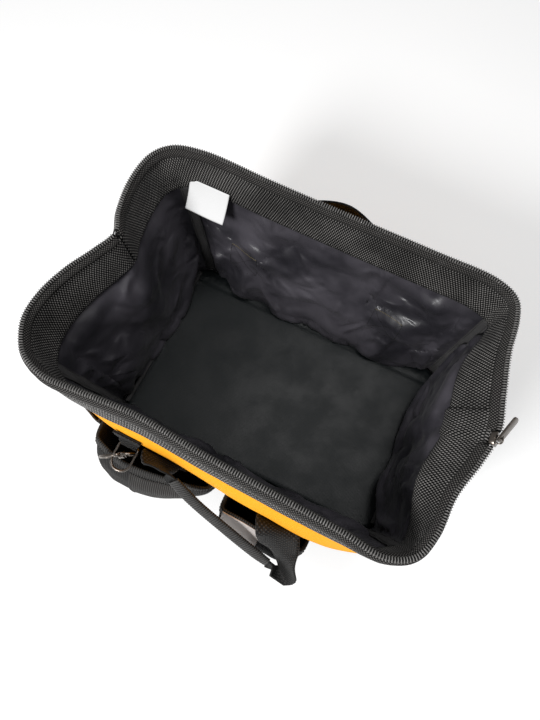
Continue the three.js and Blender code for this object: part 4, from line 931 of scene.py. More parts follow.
@dataclass
class CanvasShell(SubAssembly):
    """The outer cloth: two-colour long sides, black ends, base cloth, corner piping and seams."""

    colour_seam: float = 126.65 * MM
    cell: float = 4.5 * MM
    piping: float = 1.9 * MM
    piping_top: float = 204 * MM
    base_thickness: float = 3 * MM

    def build(self) -> None:
        """Build every piece."""
        gap = 0.3 * MM
        bands = {
            "lower": (self.shell.foot, self.colour_seam),
            "upper": (self.colour_seam + gap, self.shell.top),
            "whole": (self.shell.foot, self.shell.top),
        }
        panels = (
            ("front_lower_canvas", Side.FRONT, "lower", BLACK_CANVAS, "front_panel_lower"),
            ("front_upper_canvas", Side.FRONT, "upper", ORANGE_CANVAS, "front_panel_upper"),
            ("right_end_canvas", Side.RIGHT, "whole", BLACK_CANVAS, "right_end_panel"),
            ("back_lower_canvas", Side.BACK, "lower", BLACK_CANVAS, "back_panel_lower"),
            ("back_upper_canvas", Side.BACK, "upper", ORANGE_CANVAS, "back_panel_upper"),
            ("left_end_canvas", Side.LEFT, "whole", BLACK_CANVAS, "left_end_panel"),
        )
        for name, side, band, finish, node in panels:
            self.panel(name, side, bands[band], finish, node)
        self.corners()
        self.colour_seams()
        self.base()

    def panel(self, name: str, side: Side, band: tuple[float, float], finish: Cloth, node: str) -> None:
        """One outer panel.

        Args:
            name: the piece's name.
            side: its wall.
            band: its lowest and highest height.
            finish: its cloth.
            node: the solid that it replaces.
        """
        low, high = band
        start, end = side.value + 0.004, side.value + 0.996
        even, width = self.shell.even(start, end, (low + high) / 2)

        def spot(u: float, v: float) -> Vector:
            """Place a share of the panel."""
            return self.shell.point(even.at(u), low + (high - low) * v, self.shell.face)

        cells = (round(width / self.cell), round((high - low) / self.cell))
        piece = lay_sheet(name, cells, (width, high - low), spot)
        thicken(piece, self.shell.canvas, -1)
        self.dress(piece, finish, node)

    def corners(self) -> None:
        """Rolled piping over the four corner seams."""
        for number in range(4):
            low, out = self.shell.foot + self.piping, self.shell.face + 0.6 * MM
            run = self.upright_run(number, low, self.piping_top, out, 60)
            name = f"corner_piping_{Side(number).name.lower()}"
            self.dress(lay_tube(name, run, self.piping, 10, wobble=0.25 * MM), BINDING_TAPE)

    def colour_seams(self) -> None:
        """A folded edge and two rows of stitches where the colours meet."""
        for side in (Side.FRONT, Side.BACK):
            start, end = side.value + 0.012, side.value + 0.988
            run = self.wall_run(start, end, self.colour_seam, self.shell.face - 0.1 * MM)
            label = side.name.lower()
            self.dress(lay_tube(f"{label}_colour_seam", run, 1.0 * MM, 8, wobble=0.2 * MM), BLACK_CANVAS)
            rows = [self.wall_run(start, end, self.colour_seam - drop * MM, self.shell.face + 0.05 * MM)
                    for drop in (3, 7)]
            self.stitch(f"{label}_seam_stitches", rows)

    def base(self) -> None:
        """The base cloth, a little crowned downwards only at its rounded edge."""
        outline = 0.5 * self.shell.base_length + 2.1 * MM, 0.5 * self.shell.base_depth + 2.1 * MM
        shape = bmesh.new()
        bmesh.ops.create_grid(shape, x_segments=76, y_segments=48, size=1.0)
        flat = shape.loops.layers.uv.new("flat")
        power = self.shell.squareness
        for vert in shape.verts:
            x, y = vert.co.x, vert.co.y
            ring = max(abs(x), abs(y))
            round_ring = (abs(x) ** power + abs(y) ** power) ** (1 / power)
            scale = ring / round_ring if round_ring else 1.0
            edge = ease(0.985, 1.0, ring)
            half_length, half_depth = outline[0] - edge * 0.6 * MM, outline[1] - edge * 0.6 * MM
            vert.co = Vector((x * scale * half_length, y * scale * half_depth,
                              self.base_thickness - edge * 0.7 * MM))
        for face in shape.faces:
            for loop in face.loops:
                loop[flat].uv = loop.vert.co.xy
        piece = object_from("base_canvas", shape)
        thicken(piece, self.base_thickness - 0.7 * MM, -1)
        self.dress(piece, BLACK_CANVAS, "base_panel")


@dataclass
class Lining(SubAssembly):
    """The loose inner cloth with its corner tapes, sewn squares and the bare label."""

    cell: float = 3.0 * MM
    slack: float = 0.15
    fold_depth: float = 9 * MM
    casing_foot: float = 190 * MM
    binding_width: float = 13 * MM
    binding_thickness: float = 2 * MM
    binding_gap: float = 0.9 * MM
    square: float = 39 * MM
    square_low: float = 76 * MM
    square_places: tuple[float, float] = (-114 * MM, 86 * MM)
    label_top: tuple[float, float, float] = (-161.5 * MM, 136.5 * MM, 205 * MM)
    label_size: tuple[float, float] = (50 * MM, 38 * MM)
    label_tilt: float = 36
    sag: dict[Side, float] = field(
        default_factory=lambda: {
            Side.FRONT: 7 * MM, Side.RIGHT: 9 * MM, Side.BACK: 16 * MM, Side.LEFT: 9 * MM
        }
    )
    sag_track: Track = field(
        default_factory=lambda: Track(
            [height * MM for height in (3.3, 10, 13.5, 20, 40, 80, 120, 150)],
            (0.0, 0.12, 0.6, 1.0, 1.0, 0.8, 0.4, 0.0),
        )
    )

    # Turn in degrees, spacing and height of each family of sharp creases
    creases = (
        (62, 47 * MM, 3.4 * MM), (18, 63 * MM, 3.0 * MM), (-35, 41 * MM, 2.6 * MM), (84, 31 * MM, 1.6 * MM),
        (-66, 55 * MM, 2.8 * MM),
    )

    # Side, place along and up, turn in degrees, length, width and depth of each main fold
    folds = (
        (Side.BACK, 0.20, 0.52, 62, 0.30, 0.055, 0.7), (Side.BACK, 0.34, 0.40, 28, 0.26, 0.060, 0.8),
        (Side.BACK, 0.52, 0.30, -20, 0.34, 0.060, 0.7), (Side.BACK, 0.70, 0.46, 35, 0.24, 0.055, 0.6),
        (Side.BACK, 0.50, 0.10, 0, 0.60, 0.080, 1.0), (Side.LEFT, 0.46, 0.45, 78, 0.34, 0.070, 1.0),
        (Side.LEFT, 0.72, 0.30, -38, 0.28, 0.080, 0.8), (Side.RIGHT, 0.55, 0.40, 80, 0.34, 0.070, 0.9),
        (Side.RIGHT, 0.30, 0.25, 20, 0.30, 0.080, 0.6), (Side.FRONT, 0.35, 0.40, 15, 0.34, 0.070, 0.6),
        (Side.FRONT, 0.70, 0.28, -25, 0.30, 0.070, 0.6),
    )

    def build(self) -> None:
        """Build every piece."""
        for side in Side:
            self.wall(side)
        self.bindings()
        self.squares()
        self.label()

    def fold(self, side: Side, along: float, share: float) -> float:
        """How far the cloth's main folds stand into the bag."""
        depth = 0.0
        for of_side, place, height, turn, length, width, amount in self.folds:
            if of_side is side:
                angle = math.radians(turn)
                dx, dy = along - place, share - height
                lengthways = dx * math.cos(angle) + dy * math.sin(angle)
                crossways = dy * math.cos(angle) - dx * math.sin(angle)
                depth += amount * math.exp(-((lengthways / length) ** 2) - (crossways / width) ** 2)
        foot = (self.casing_foot - self.shell.foot) / (self.shell.rim - self.shell.foot)
        edge = ease(0.12, 0.26, along) * ease(0.12, 0.26, 1 - along) * ease(0.012, 0.1, foot - share)
        return self.fold_depth * min(1.0, depth) * edge

    def drape(self, side: Side, place: float, z: float) -> float:
        """How far the loose cloth hangs inwards: a sagging lower edge and many small sharp folds."""
        along = place - side.value
        ends = ease(0.03, 0.12, along) * ease(0.03, 0.12, 1 - along)
        wave = 0.75 + 0.6 * noise.noise(Vector((place * 9, z * 8, 2.2)))
        sag = self.sag[side] * self.sag_track.at(z) * wave
        foot = (self.casing_foot - z) / self.casing_foot
        window = ease(0.0, 0.12, foot) * ease(6 * MM, 30 * MM, z)
        width = 0.44 if side in (Side.FRONT, Side.BACK) else 0.27
        x = place * width
        warp = noise.noise(Vector((x * 9, z * 9, 6.1))) * 0.02
        folds = 0.0
        for row, (turn, spacing, height) in enumerate(self.creases):
            angle = math.radians(turn)
            across = (x * math.cos(angle) + z * math.sin(angle) + warp) / spacing + 0.37 * row
            patch = min(max(0.35 + 1.5 * noise.noise(Vector((x * 11, z * 13, 3.1 * row))), 0.0), 1.0)
            folds += height * patch * abs(2 * (across - math.floor(across)) - 1)
        return ends * (sag + window * folds)

    def wall(self, side: Side) -> None:
        """One lining panel, buckled by a cloth simulation between its seams."""
        low, high = self.shell.foot, self.shell.top
        start, end = side.value + 0.004, side.value + 0.996
        even, width = self.shell.even(start, end, 0.5 * (low + high))
        out = -self.shell.half_gap

        def spot(u: float, v: float) -> Vector:
            """Place a share of the panel."""
            place, z = even.at(u), low + (high - low) * v
            share = (z - self.shell.foot) / (self.shell.rim - self.shell.foot)
            inwards = self.fold(side, place - side.value, share) + self.drape(side, place, z)
            return self.shell.point(place, z, out - inwards)

        size = (width, high - low)
        cells = (round(size[0] / self.cell), round(size[1] / self.cell))
        piece = lay_sheet(f"{side.name.lower()}_nylon", cells, size, spot)
        crumple(piece, self.held(side, piece), self.slack, (15 * MM, 0.4 * MM), steps=30, stiffness=0.25)
        thicken(piece, 0.6 * MM, -1)
        self.dress(piece, LINING, f"{side.name.lower()}_lining")
        flat = tuple(length * (1 + self.slack) for length in size)

    def held(self, side: Side, piece: bpy.types.Object) -> Callable[[Vector], float]:
        """Where a lining panel is sewn down."""
        shape = bmesh.new()
        shape.from_mesh(piece.data)
        edge = {tuple(round(c, 5) for c in vert.co) for vert in shape.verts if vert.is_boundary}
        shape.free()

        def weight(point: Vector) -> float:
            """Firmness at a point, from 0 to 1."""
            if tuple(round(c, 5) for c in point) in edge or point.z > self.casing_foot:
                return 1.0
            if any((point - self.shell.point(side.value + end, point.z)).length < 11 * MM for end in (0, 1)):
                return 1.0
            if side is Side.BACK:
                for x in self.square_places:
                    inside = abs(point.x - x) < self.square / 2
                    if inside and self.square_low < point.z < self.square_low + self.square:
                        return 1.0
            return 0.0

        return weight

    def bindings(self) -> None:
        """Tapes down the four inner corners."""
        out = -self.shell.half_gap - self.shell.lining - self.binding_gap
        names = ("front_left", "front_right", "back_right", "back_left")
        low, high = 15 * MM, self.casing_foot + 2 * MM
        rows = []
        for corner, name in enumerate(names):
            around = []
            for way in (-1, 1):
                spans = [(self.shell.bare(corner + way * 0.02, z) - self.shell.bare(corner, z)).length / 0.02
                         for z in (low, high)]
                around.append(corner + way * self.binding_width / 2 / min(spans))

            def spot(u: float, v: float, around: list[float] = around) -> Vector:
                """Place a share of the tape."""
                place = around[0] + (around[1] - around[0]) * v
                z = low + (high - low) * u
                crown = 1.6 * MM * (1 - (2 * v - 1) ** 2)
                ripple = 0.5 * MM * math.sin(u * 21 + corner * 2) * (2 * v - 1)
                return self.shell.point(place, z, out - crown + ripple)

            piece = lay_sheet(f"corner_tape_{name}", (60, 8), (high - low, self.binding_width), spot)
            thicken(piece, self.binding_thickness * 0.7, 0)
            self.dress(piece, BINDING_TAPE, f"seam_binding_{name}")
            for share in (0.14, 0.86):
                place = around[0] + (around[1] - around[0]) * share
                rows.append(self.upright_run(place, low + 2 * MM, high - 4 * MM, out - 1.7 * MM))
        self.stitch("corner_tape_stitches", rows)

    def squares(self) -> None:
        """Crossed squares of stitches where the back handle is sewn on."""
        dark, tan = [], []
        half = self.square / 2

        def line(a: tuple[float, float], b: tuple[float, float]) -> Run:
            """A straight row of stitches on the back lining, between two points of x and z."""
            run = []
            for step in range(13):
                x, z = (p + (q - p) * step / 12 for p, q in zip(a, b))
                inwards = -self.shell.half_gap - self.inwards_at(x, z) - 0.9 * MM
                y = self.shell.line_y(Side.BACK, x, z, inwards)
                run.append((Vector((x, y, z)), Vector((0, -1, 0))))
            return run

        for x in self.square_places:
            low, high = self.square_low, self.square_low + self.square
            corners = ((x - half, low), (x + half, low), (x + half, high), (x - half, high))
            for a, b in ((0, 1), (1, 2), (3, 0), (0, 2), (1, 3)):
                dark.append(line(corners[a], corners[b]))
            tan.append(line(corners[2], corners[3]))
        self.stitch("box_stitches", dark, pitch=2.6 * MM, inset=0.4 * MM)
        self.stitch("box_top_stitches", tan, TAN_THREAD, pitch=2.2 * MM, inset=0.4 * MM)

    def inwards_at(self, x: float, z: float) -> float:
        """How far the back lining hangs inwards at a place given by x and height."""
        low, high = Side.BACK.value + 0.001, Side.BACK.value + 0.999
        for _ in range(20):
            middle = (low + high) / 2
            low, high = (middle, high) if self.shell.bare(middle, z).x > x else (low, middle)
        share = (z - self.shell.foot) / (self.shell.rim - self.shell.foot)
        return self.fold(Side.BACK, low - Side.BACK.value, share) + self.drape(Side.BACK, low, z)

    def label(self) -> None:
        """The bare white label, sewn in under the casing, curling a little."""
        top = Vector(self.label_top)
        width, length = self.label_size
        tilt = math.radians(self.label_tilt)
        down = Vector((0, -math.sin(tilt), -math.cos(tilt)))
        square_to = Vector((1, 0, 0)).cross(down)

        def spot(u: float, v: float) -> Vector:
            """Place a share of the label."""
            across = (u - 0.5) * width
            curl = 1.2 * MM * math.sin(v * math.pi) + 0.8 * MM * v * math.cos(u * math.pi * 1.4)
            return top + Vector((across, 0, 0)) + down * (v * length) + square_to * curl

        piece = lay_sheet("care_label", (26, 20), (width, length), spot)
        thicken(piece, 0.45 * MM, 0)
        self.dress(piece, WHITE_TAPE, "label")


@dataclass
class PaddedFloor(SubAssembly):
    """The stiff padded floor with rolled edges."""

    half_length: float = 189 * MM
    half_depth: float = 119 * MM
    radius: float = 22 * MM
    foot: float = 3.3 * MM
    thickness: float = 8 * MM
    crease_y: float = 99 * MM
    piping_x: float = 183 * MM
    piping_radius: float = 3 * MM
    slack: float = 0.012

    def build(self) -> None:
        """Build every piece."""
        self.pad()
        self.rolls()

    def rounded(self, x: float, y: float) -> Vector:
        """Move a point of the unit square into the pad's rounded outline."""
        px, py = x * self.half_length, y * self.half_depth
        dx, dy = abs(px) - (self.half_length - self.radius), abs(py) - (self.half_depth - self.radius)
        if dx > 0 and dy > 0:
            reach = math.hypot(dx, dy)
            longest = max(dx, dy)
            shrink = longest / reach
            px = math.copysign(abs(px) - dx + dx * shrink, px)
            py = math.copysign(abs(py) - dy + dy * shrink, py)
        return Vector((px, py, 0))

    def pad(self) -> None:
        """The pad: a soft cover, slightly loose over a stiff board."""
        top = self.foot + self.thickness

        def spot(u: float, v: float) -> Vector:
            """Place a share of the pad's cover."""
            x, y = 2 * u - 1, 2 * v - 1
            point = self.rounded(x, y)
            edge = 1 - max(abs(x), abs(y))
            fall = 1.5 * MM * (1 - ease(0, 0.03, edge))
            crease = 1.0 * MM * math.exp(-(((point.y - self.crease_y) / (2.2 * MM)) ** 2))
            swell = 0.9 * MM * noise.noise(Vector((point.x * 9, point.y * 14, 1.3)))
            point.z = top - fall - crease + max(swell, -0.4 * MM)
            return point

        size = (2 * self.half_length, 2 * self.half_depth)
        piece = lay_sheet("floor_pad", (126, 80), size, spot)
        half_length, half_depth, crease = self.half_length, self.half_depth, self.crease_y

        def held(point: Vector) -> float:
            """Firmness at a point of the cover."""
            near = max(abs(point.x) / half_length, abs(point.y) / half_depth)
            return 1.0 if near > 0.985 or abs(point.y - crease) < 2.5 * MM else 0.0

        crumple(piece, held, self.slack, (0.2 * MM, 2.6 * MM), steps=20, stiffness=1.5, gravity=0.1)
        thicken(piece, self.thickness - 0.6 * MM, -1)
        bevel = piece.modifiers.new("soft_edge", "BEVEL")
        bevel.width, bevel.segments, bevel.limit_method = 1.6 * MM, 3, "ANGLE"
        self.dress(piece, PAD_CLOTH, "base_pad")

    def rolls(self) -> None:
        """Rolled edges at both ends of the pad, with their stitches."""
        rows = []
        z = self.foot + self.thickness + self.piping_radius
        for name, way in (("left", -1), ("right", 1)):
            run = []
            for step in range(91):
                y = -107 * MM + 214 * MM * step / 90
                drift = 1.1 * MM * noise.noise(Vector((way, y * 22, 0.4)))
                run.append((Vector((way * self.piping_x + drift, y, z)), Vector((0, 0, 1))))
            piece = lay_tube(f"floor_roll_{name}", run, self.piping_radius, 12, wobble=0.5 * MM)
            self.dress(piece, BINDING_TAPE, f"base_piping_{name}")
            beside = Vector((way * 5 * MM, 0, self.piping_radius - 0.4 * MM))
            rows.append([(point - beside, up) for point, up in run])
        self.stitch("floor_roll_stitches", rows)


@dataclass
class Mouth(SubAssembly):
    """The webbing casings, zip tapes, coil teeth and their stitches."""

    right_hinge: float = 1.47
    left_hinge: float = 3.4
    inner_foot: float = 190 * MM
    outer_foot: float = 224 * MM
    outer_foot_left: float = 209 * MM
    overlap: float = 0.11
    tooth_pitch: float = 2.6 * MM
    slider_gap: float = 0.029
    end_gap: float = 0.01

    def build(self) -> None:
        """Build every piece."""
        halves = (
            ("front", self.left_hinge - 4, self.right_hinge),
            ("back", self.right_hinge, self.left_hinge),
        )
        rows = []
        for name, start, end in halves:
            self.casing(name, start, end)
            clear = (self.slider_gap, self.end_gap) if name == "back" else (self.end_gap, self.slider_gap)
            self.tape(name, start + clear[0], end - clear[1])
            self.teeth(name, start + clear[0], end - clear[1])
            rows += [self.wall_run(start + 0.01, end - 0.01, z, out * MM, 260)
                     for z, out in ((193 * MM, -4.4), (235 * MM, -4.3), (228 * MM, 5.1))]
        self.stitch("casing_stitches", rows, pitch=3.8 * MM)

    def pucker(self, place: float, z: float) -> float:
        """How far the webbing is drawn into small folds, most of all round the corners."""
        along = place % 1
        near = math.exp(-((min(along, 1 - along) / 0.13) ** 2))
        middle = ease(188 * MM, 200 * MM, z) * ease(246 * MM, 234 * MM, z) if z < 246 * MM else 0.0
        ripple = noise.noise(Vector((place * 34, z * 18, 5.5)))
        small = noise.noise(Vector((place * 90, z * 40, 2.5)))
        return MM * middle * (near * (1.9 * ripple + 0.5 * small) + 0.35 * ripple)

    def casing(self, name: str, start: float, end: float) -> None:
        """One half of the webbing sleeve over the walls' top edge."""
        lap = self.overlap if name == "front" else 0.0
        first, last = start + 0.003, end - 0.003 + lap
        even, length = self.shell.even(first, last, 225 * MM)
        outs = (-3.05, -3.05, -3.05, -2.6, 0.0, 3.4, 3.95, 3.95, 3.95)
        inner, outer = self.inner_foot / MM + 0.4, self.outer_foot / MM
        heights = (inner, 215, 235.5, 238.6, 239.7, 238.6, 235.5, 230, outer)
        out_at, height_at, width = fold_tracks(outs, heights)
        width *= MM

        def spot(u: float, v: float) -> Vector:
            """Place a share of the sleeve."""
            place = even.at(u)
            out, z = out_at.at(v) * MM, height_at.at(v) * MM
            over = ease(end - 0.02, end + 0.01, place) if lap else 0.0
            shift = over * (-1.9 * MM if out < 0 else 1.7 * MM)
            if v < 0.55:
                z += over * (-5 * MM) * (1 - v / 0.55)
            if v > 0.75 and place < 1:
                z -= (self.outer_foot - self.outer_foot_left) * ease(0.75, 1.0, v) * ease(0.9, 0.1, place)
            return self.shell.point(place, z, out + shift + self.pucker(place, z) * (1 if out < 0 else 0.5))

        piece = lay_sheet(f"{name}_sleeve", (round(length / (3.0 * MM)), 34), (length, width), spot)
        thicken(piece, 2.0 * MM, 0)
        self.dress(piece, CASING_WEBBING, f"{name}_casing")

    def tape(self, name: str, start: float, end: float) -> None:
        """Zip tape, folded over the sleeve's top like a low roof."""
        even, length = self.shell.even(start, end, 244 * MM)
        outs = (-4.9, -4.7, -3.8, -1.3, 0.0, 1.3, 4.2, 5.3, 5.6)
        heights = (239.4, 241.2, 243.3, 245.6, 246.1, 245.6, 243.2, 240.6, 238.0)
        out_at, height_at, width = fold_tracks(outs, heights)
        width *= MM

        def spot(u: float, v: float) -> Vector:
            """Place a share of the tape."""
            place = even.at(u)
            z = height_at.at(v) * MM
            ripple = 0.25 * MM * noise.noise(Vector((place * 40, z * 60, 7.7)))
            drawn = 0.0
            if z < 238 * MM:
                drawn = self.pucker(place, min(z, 237 * MM)) * (1 if out_at.at(v) < 0 else 0.5)
            return self.shell.point(place, z, out_at.at(v) * MM + ripple + drawn)

        piece = lay_sheet(f"{name}_tape", (round(length / (3.0 * MM)), 20), (length, width), spot)
        thicken(piece, 0.7 * MM, 0)
        self.dress(piece, ZIP_TAPE, f"{name}_zip_tape")

    def teeth(self, name: str, start: float, end: float) -> None:
        """Coil teeth side by side along the mouth, on their cord."""
        run = [(point, Vector((0, 0, 1))) for point, _ in self.wall_run(start, end, 247.7 * MM, 0.0, 420)]
        spots = list(walk(run, self.tooth_pitch, 1 * MM))
        coil = beads(f"{name}_coil", spots, (1.5 * MM, 6.2 * MM, 3.9 * MM), (8, 6))
        self.dress(coil, COIL_NYLON, f"{name}_zip_teeth")
        self.dress(lay_tube(f"{name}_coil_cord", run, 1.4 * MM, 6), CORD)


@dataclass
class PocketCut:
    """Sizes of one bellows pocket, in metres, and its plan and swell as shares."""

    name: str
    x: float
    width: float
    depth: float
    height: float
    plan_across: tuple[float, ...]
    plan_out: tuple[float, ...]
    swell_heights: tuple[float, ...]
    swell_out: tuple[float, ...]
    sag: float
    foot: float = 9 * MM
    gap: float = 0.8 * MM

    def __post_init__(self) -> None:
        """Measure the way round the pocket's face."""
        reach = distances([(a * self.width, o * self.depth) for a, o in zip(self.plan_across, self.plan_out)])
        self.length = reach[-1]
        shares = [r / self.length for r in reach]
        self.across = Track(shares, self.plan_across)
        self.out = Track(shares, self.plan_out)
        self.swell = Track(self.swell_heights, self.swell_out)

    def share_at(self, distance: float) -> float:
        """Share of the way round at which the face has gone a distance across."""
        low, high = 0.0, 1.0
        for _ in range(30):
            middle = (low + high) / 2
            low, high = (middle, high) if self.across.at(middle) * self.width < distance else (low, middle)
        return low


BOX_PLAN_ACROSS = (0.0, 0.004, 0.04, 0.14, 0.25, 0.37, 0.5, 0.63, 0.75, 0.86, 0.96, 0.996, 1.0)
BOX_PLAN_OUT = (0.0, 0.6, 0.95, 0.99, 1.0, 1.0, 1.0, 1.0, 1.0, 0.99, 0.95, 0.6, 0.0)
FULL_HEIGHTS = (0.0, 0.18, 0.48, 0.8, 1.0)
FULL_OUT = (0.62, 0.82, 0.86, 0.76, 0.54)
LEFT_POCKET = PocketCut(
    "left", -152 * MM, 139 * MM, 60 * MM, 148 * MM,
    (0.0, 0.004, 0.02, 0.09, 0.2, 0.3, 0.42, 0.52, 0.63, 0.72, 0.81, 0.88, 0.94, 0.98, 1.0),
    (0.0, 0.45, 0.8, 0.95, 1.0, 1.0, 0.97, 0.9, 0.8, 0.69, 0.57, 0.45, 0.33, 0.2, 0.0),
    FULL_HEIGHTS, (0.72, 0.94, 1.0, 0.78, 0.4), 2.5 * MM,
)
RIGHT_POCKET = PocketCut(
    "right", 6 * MM, 98 * MM, 44 * MM, 146 * MM, BOX_PLAN_ACROSS, BOX_PLAN_OUT,
    FULL_HEIGHTS, (0.7, 0.92, 1.0, 0.84, 0.36), 2.0 * MM,
)
CORNER_POCKET = PocketCut(
    "corner", -188 * MM, 33 * MM, 15 * MM, 150 * MM, BOX_PLAN_ACROSS, BOX_PLAN_OUT,
    FULL_HEIGHTS, FULL_OUT, 1.0 * MM,
)


@dataclass
class FrontPockets(SubAssembly):
    """Bellows pockets on the front with their bound edges, ribbed band and bare patch."""

    wall: float = 1.6 * MM
    binding: float = 7 * MM

    def build(self) -> None:
        """Build every piece."""
        self.pocket(LEFT_POCKET, RIBBED_CANVAS, (100, 60))
        self.pocket(RIGHT_POCKET, BLACK_CANVAS, (70, 56))
        self.pocket(CORNER_POCKET, GREY_CANVAS, (36, 48))
        rows = []
        for cut in (LEFT_POCKET, RIGHT_POCKET):
            self.edge_binding(cut)
            low = cut.height - self.binding + 1.2 * MM
            shares = [0.03 + 0.94 * step / 90 for step in range(91)]
            rows.append([(self.face(cut, at, low, 2.0 * MM), self.facing(cut, at, low)) for at in shares])
        band = (LEFT_POCKET.share_at(52 * MM), LEFT_POCKET.share_at(116 * MM))
        self.strip("ribbed_band", LEFT_POCKET, band, (9.5 * MM, 140.4 * MM), 1.2 * MM, BAND_TAPE,
                   "left_pocket_band", (44, 50))
        patch = (RIGHT_POCKET.share_at(5 * MM), RIGHT_POCKET.share_at(51 * MM))
        self.strip("bare_patch", RIGHT_POCKET, patch, (109 * MM, 147.0 * MM), 1.2 * MM, PATCH_VINYL,
                   "grey_patch", (30, 22), 1.6 * MM)
        self.patch_edge(patch)
        for share in band:
            inner = share + (0.012 if share == band[0] else -0.012)
            rows.append([(self.face(LEFT_POCKET, inner, z, 2.0 * MM), self.facing(LEFT_POCKET, inner, z))
                         for z in [(12 + 126 * step / 60) * MM for step in range(61)]])
        self.stitch("pocket_stitches", rows)

    def face(self, cut: PocketCut, share: float, z: float, out: float = 0.0) -> Vector:
        """Point of a pocket's face.

        Args:
            cut: the pocket.
            share: share of the way round from its left edge.
            z: height.
            out: distance off the face.

        Returns:
            The point.
        """
        height_share = min(max((z - cut.foot) / (cut.height - cut.foot), 0.0), 1.0)
        across = cut.across.at(share)
        x = cut.x + cut.width * across
        dip = cut.sag * math.sin(math.pi * across) * ease(0.55, 1.0, height_share)
        lumps = noise.noise(Vector((x * 24, z * 20, 4.4))) + 0.5 * noise.noise(Vector((x * 60, z * 45, 8.4)))
        window = ease(0.0, 0.12, across) * ease(0.0, 0.12, 1 - across) * ease(0.02, 0.2, height_share)
        window *= ease(0.0, 0.15, 1 - height_share)
        crumple_in = 2.0 * MM * window * min(max(0.5 + lumps, 0), 1.3)
        reach = (cut.depth * cut.swell.at(height_share) - crumple_in) * cut.out.at(share)
        base = self.shell.line_y(Side.FRONT, x, z - dip, self.shell.face)
        point = Vector((x, base - cut.gap - max(reach, 0.0), z - dip))
        return point + self.facing(cut, share, z) * out if out else point

    def facing(self, cut: PocketCut, share: float, z: float) -> Vector:
        """Level direction straight out of a pocket's face."""
        ahead = self.face(cut, min(share + 0.01, 1.0), z)
        behind = self.face(cut, max(share - 0.01, 0.0), z)
        along = ahead - behind
        return Vector((along.y, -along.x, 0)).normalized()

    def pocket(self, cut: PocketCut, finish: Cloth, cells: tuple[int, int]) -> None:
        """One open-topped pocket: its floor and its face in one sheet."""
        floor = cut.depth * cut.swell.at(0)
        rise = cut.height - cut.foot
        turn = floor / (floor + rise)

        def spot(u: float, v: float) -> Vector:
            """Place a share of the cut cloth."""
            foot = self.face(cut, u, cut.foot)
            if v >= turn:
                return self.face(cut, u, cut.foot + rise * (v - turn) / (1 - turn))
            wall = self.shell.line_y(Side.FRONT, foot.x, cut.foot, self.shell.face) - cut.gap
            share = v / turn
            return Vector((foot.x, wall + (foot.y - wall) * share, cut.foot))

        piece = lay_sheet(f"{cut.name}_bellows", cells, (cut.length, floor + rise), spot)
        thicken(piece, self.wall, -1)
        self.dress(piece, finish, f"{cut.name}_pocket")
        floor + rise

    def strip(self, name: str, cut: PocketCut, shares: tuple[float, float], heights: tuple[float, float],
              thickness: float, finish: Cloth | Smooth, node: str, cells: tuple[int, int],
              lift: float = 0.5 * MM) -> None:
        """A strip laid on a pocket's face."""
        size = ((shares[1] - shares[0]) * cut.length, heights[1] - heights[0])

        def spot(u: float, v: float) -> Vector:
            """Place a share of the strip."""
            share = shares[0] + (shares[1] - shares[0]) * u
            return self.face(cut, share, heights[0] + (heights[1] - heights[0]) * v, lift + thickness)

        piece = lay_sheet(name, cells, size, spot)
        thicken(piece, thickness, -1)
        self.dress(piece, finish, node)

    def edge_binding(self, cut: PocketCut) -> None:
        """Ribbed tape folded over a pocket's top edge."""
        drop = self.binding

        def spot(u: float, v: float) -> Vector:
            """Place a share of the tape: down the outside, over the edge and down the inside."""
            share = 0.012 + 0.976 * u
            round_it = (v - 0.5) * 2
            out = 1.5 * MM * math.tanh(round_it * -6)
            z = cut.height + 0.4 * MM - drop * ease(0.04, 1.0, abs(round_it))
            return self.face(cut, share, z, out - 0.2 * MM)

        piece = lay_sheet(f"{cut.name}_edge_tape", (90, 14), (cut.length, 2 * drop), spot)
        thicken(piece, 0.9 * MM, 0)
        self.dress(piece, RIBBED_TAPE, f"{cut.name}_pocket_binding")

    def patch_edge(self, shares: tuple[float, float]) -> None:
        """A thin raised edge round the bare patch."""
        low, high = 109.6 * MM, 146.4 * MM
        inset = 0.006
        corners = ((shares[0] + inset, low), (shares[1] - inset, low), (shares[1] - inset, high),
                   (shares[0] + inset, high), (shares[0] + inset, low))
        run = []
        for (share_a, z_a), (share_b, z_b) in zip(corners, corners[1:]):
            for step in range(16):
                share, z = share_a + (share_b - share_a) * step / 16, z_a + (z_b - z_a) * step / 16
                run.append((self.face(RIGHT_POCKET, share, z, 2.9 * MM), self.facing(RIGHT_POCKET, share, z)))
        run.append(run[0])
        self.dress(lay_tube("bare_patch_edge", run, 0.45 * MM, 6, closed=True), PATCH_VINYL)


@dataclass(frozen=True)
class StrapRow:
    """One row of a strap's line: centre, direction across it and width, in metres."""

    centre: Vector
    across: Vector
    width: float


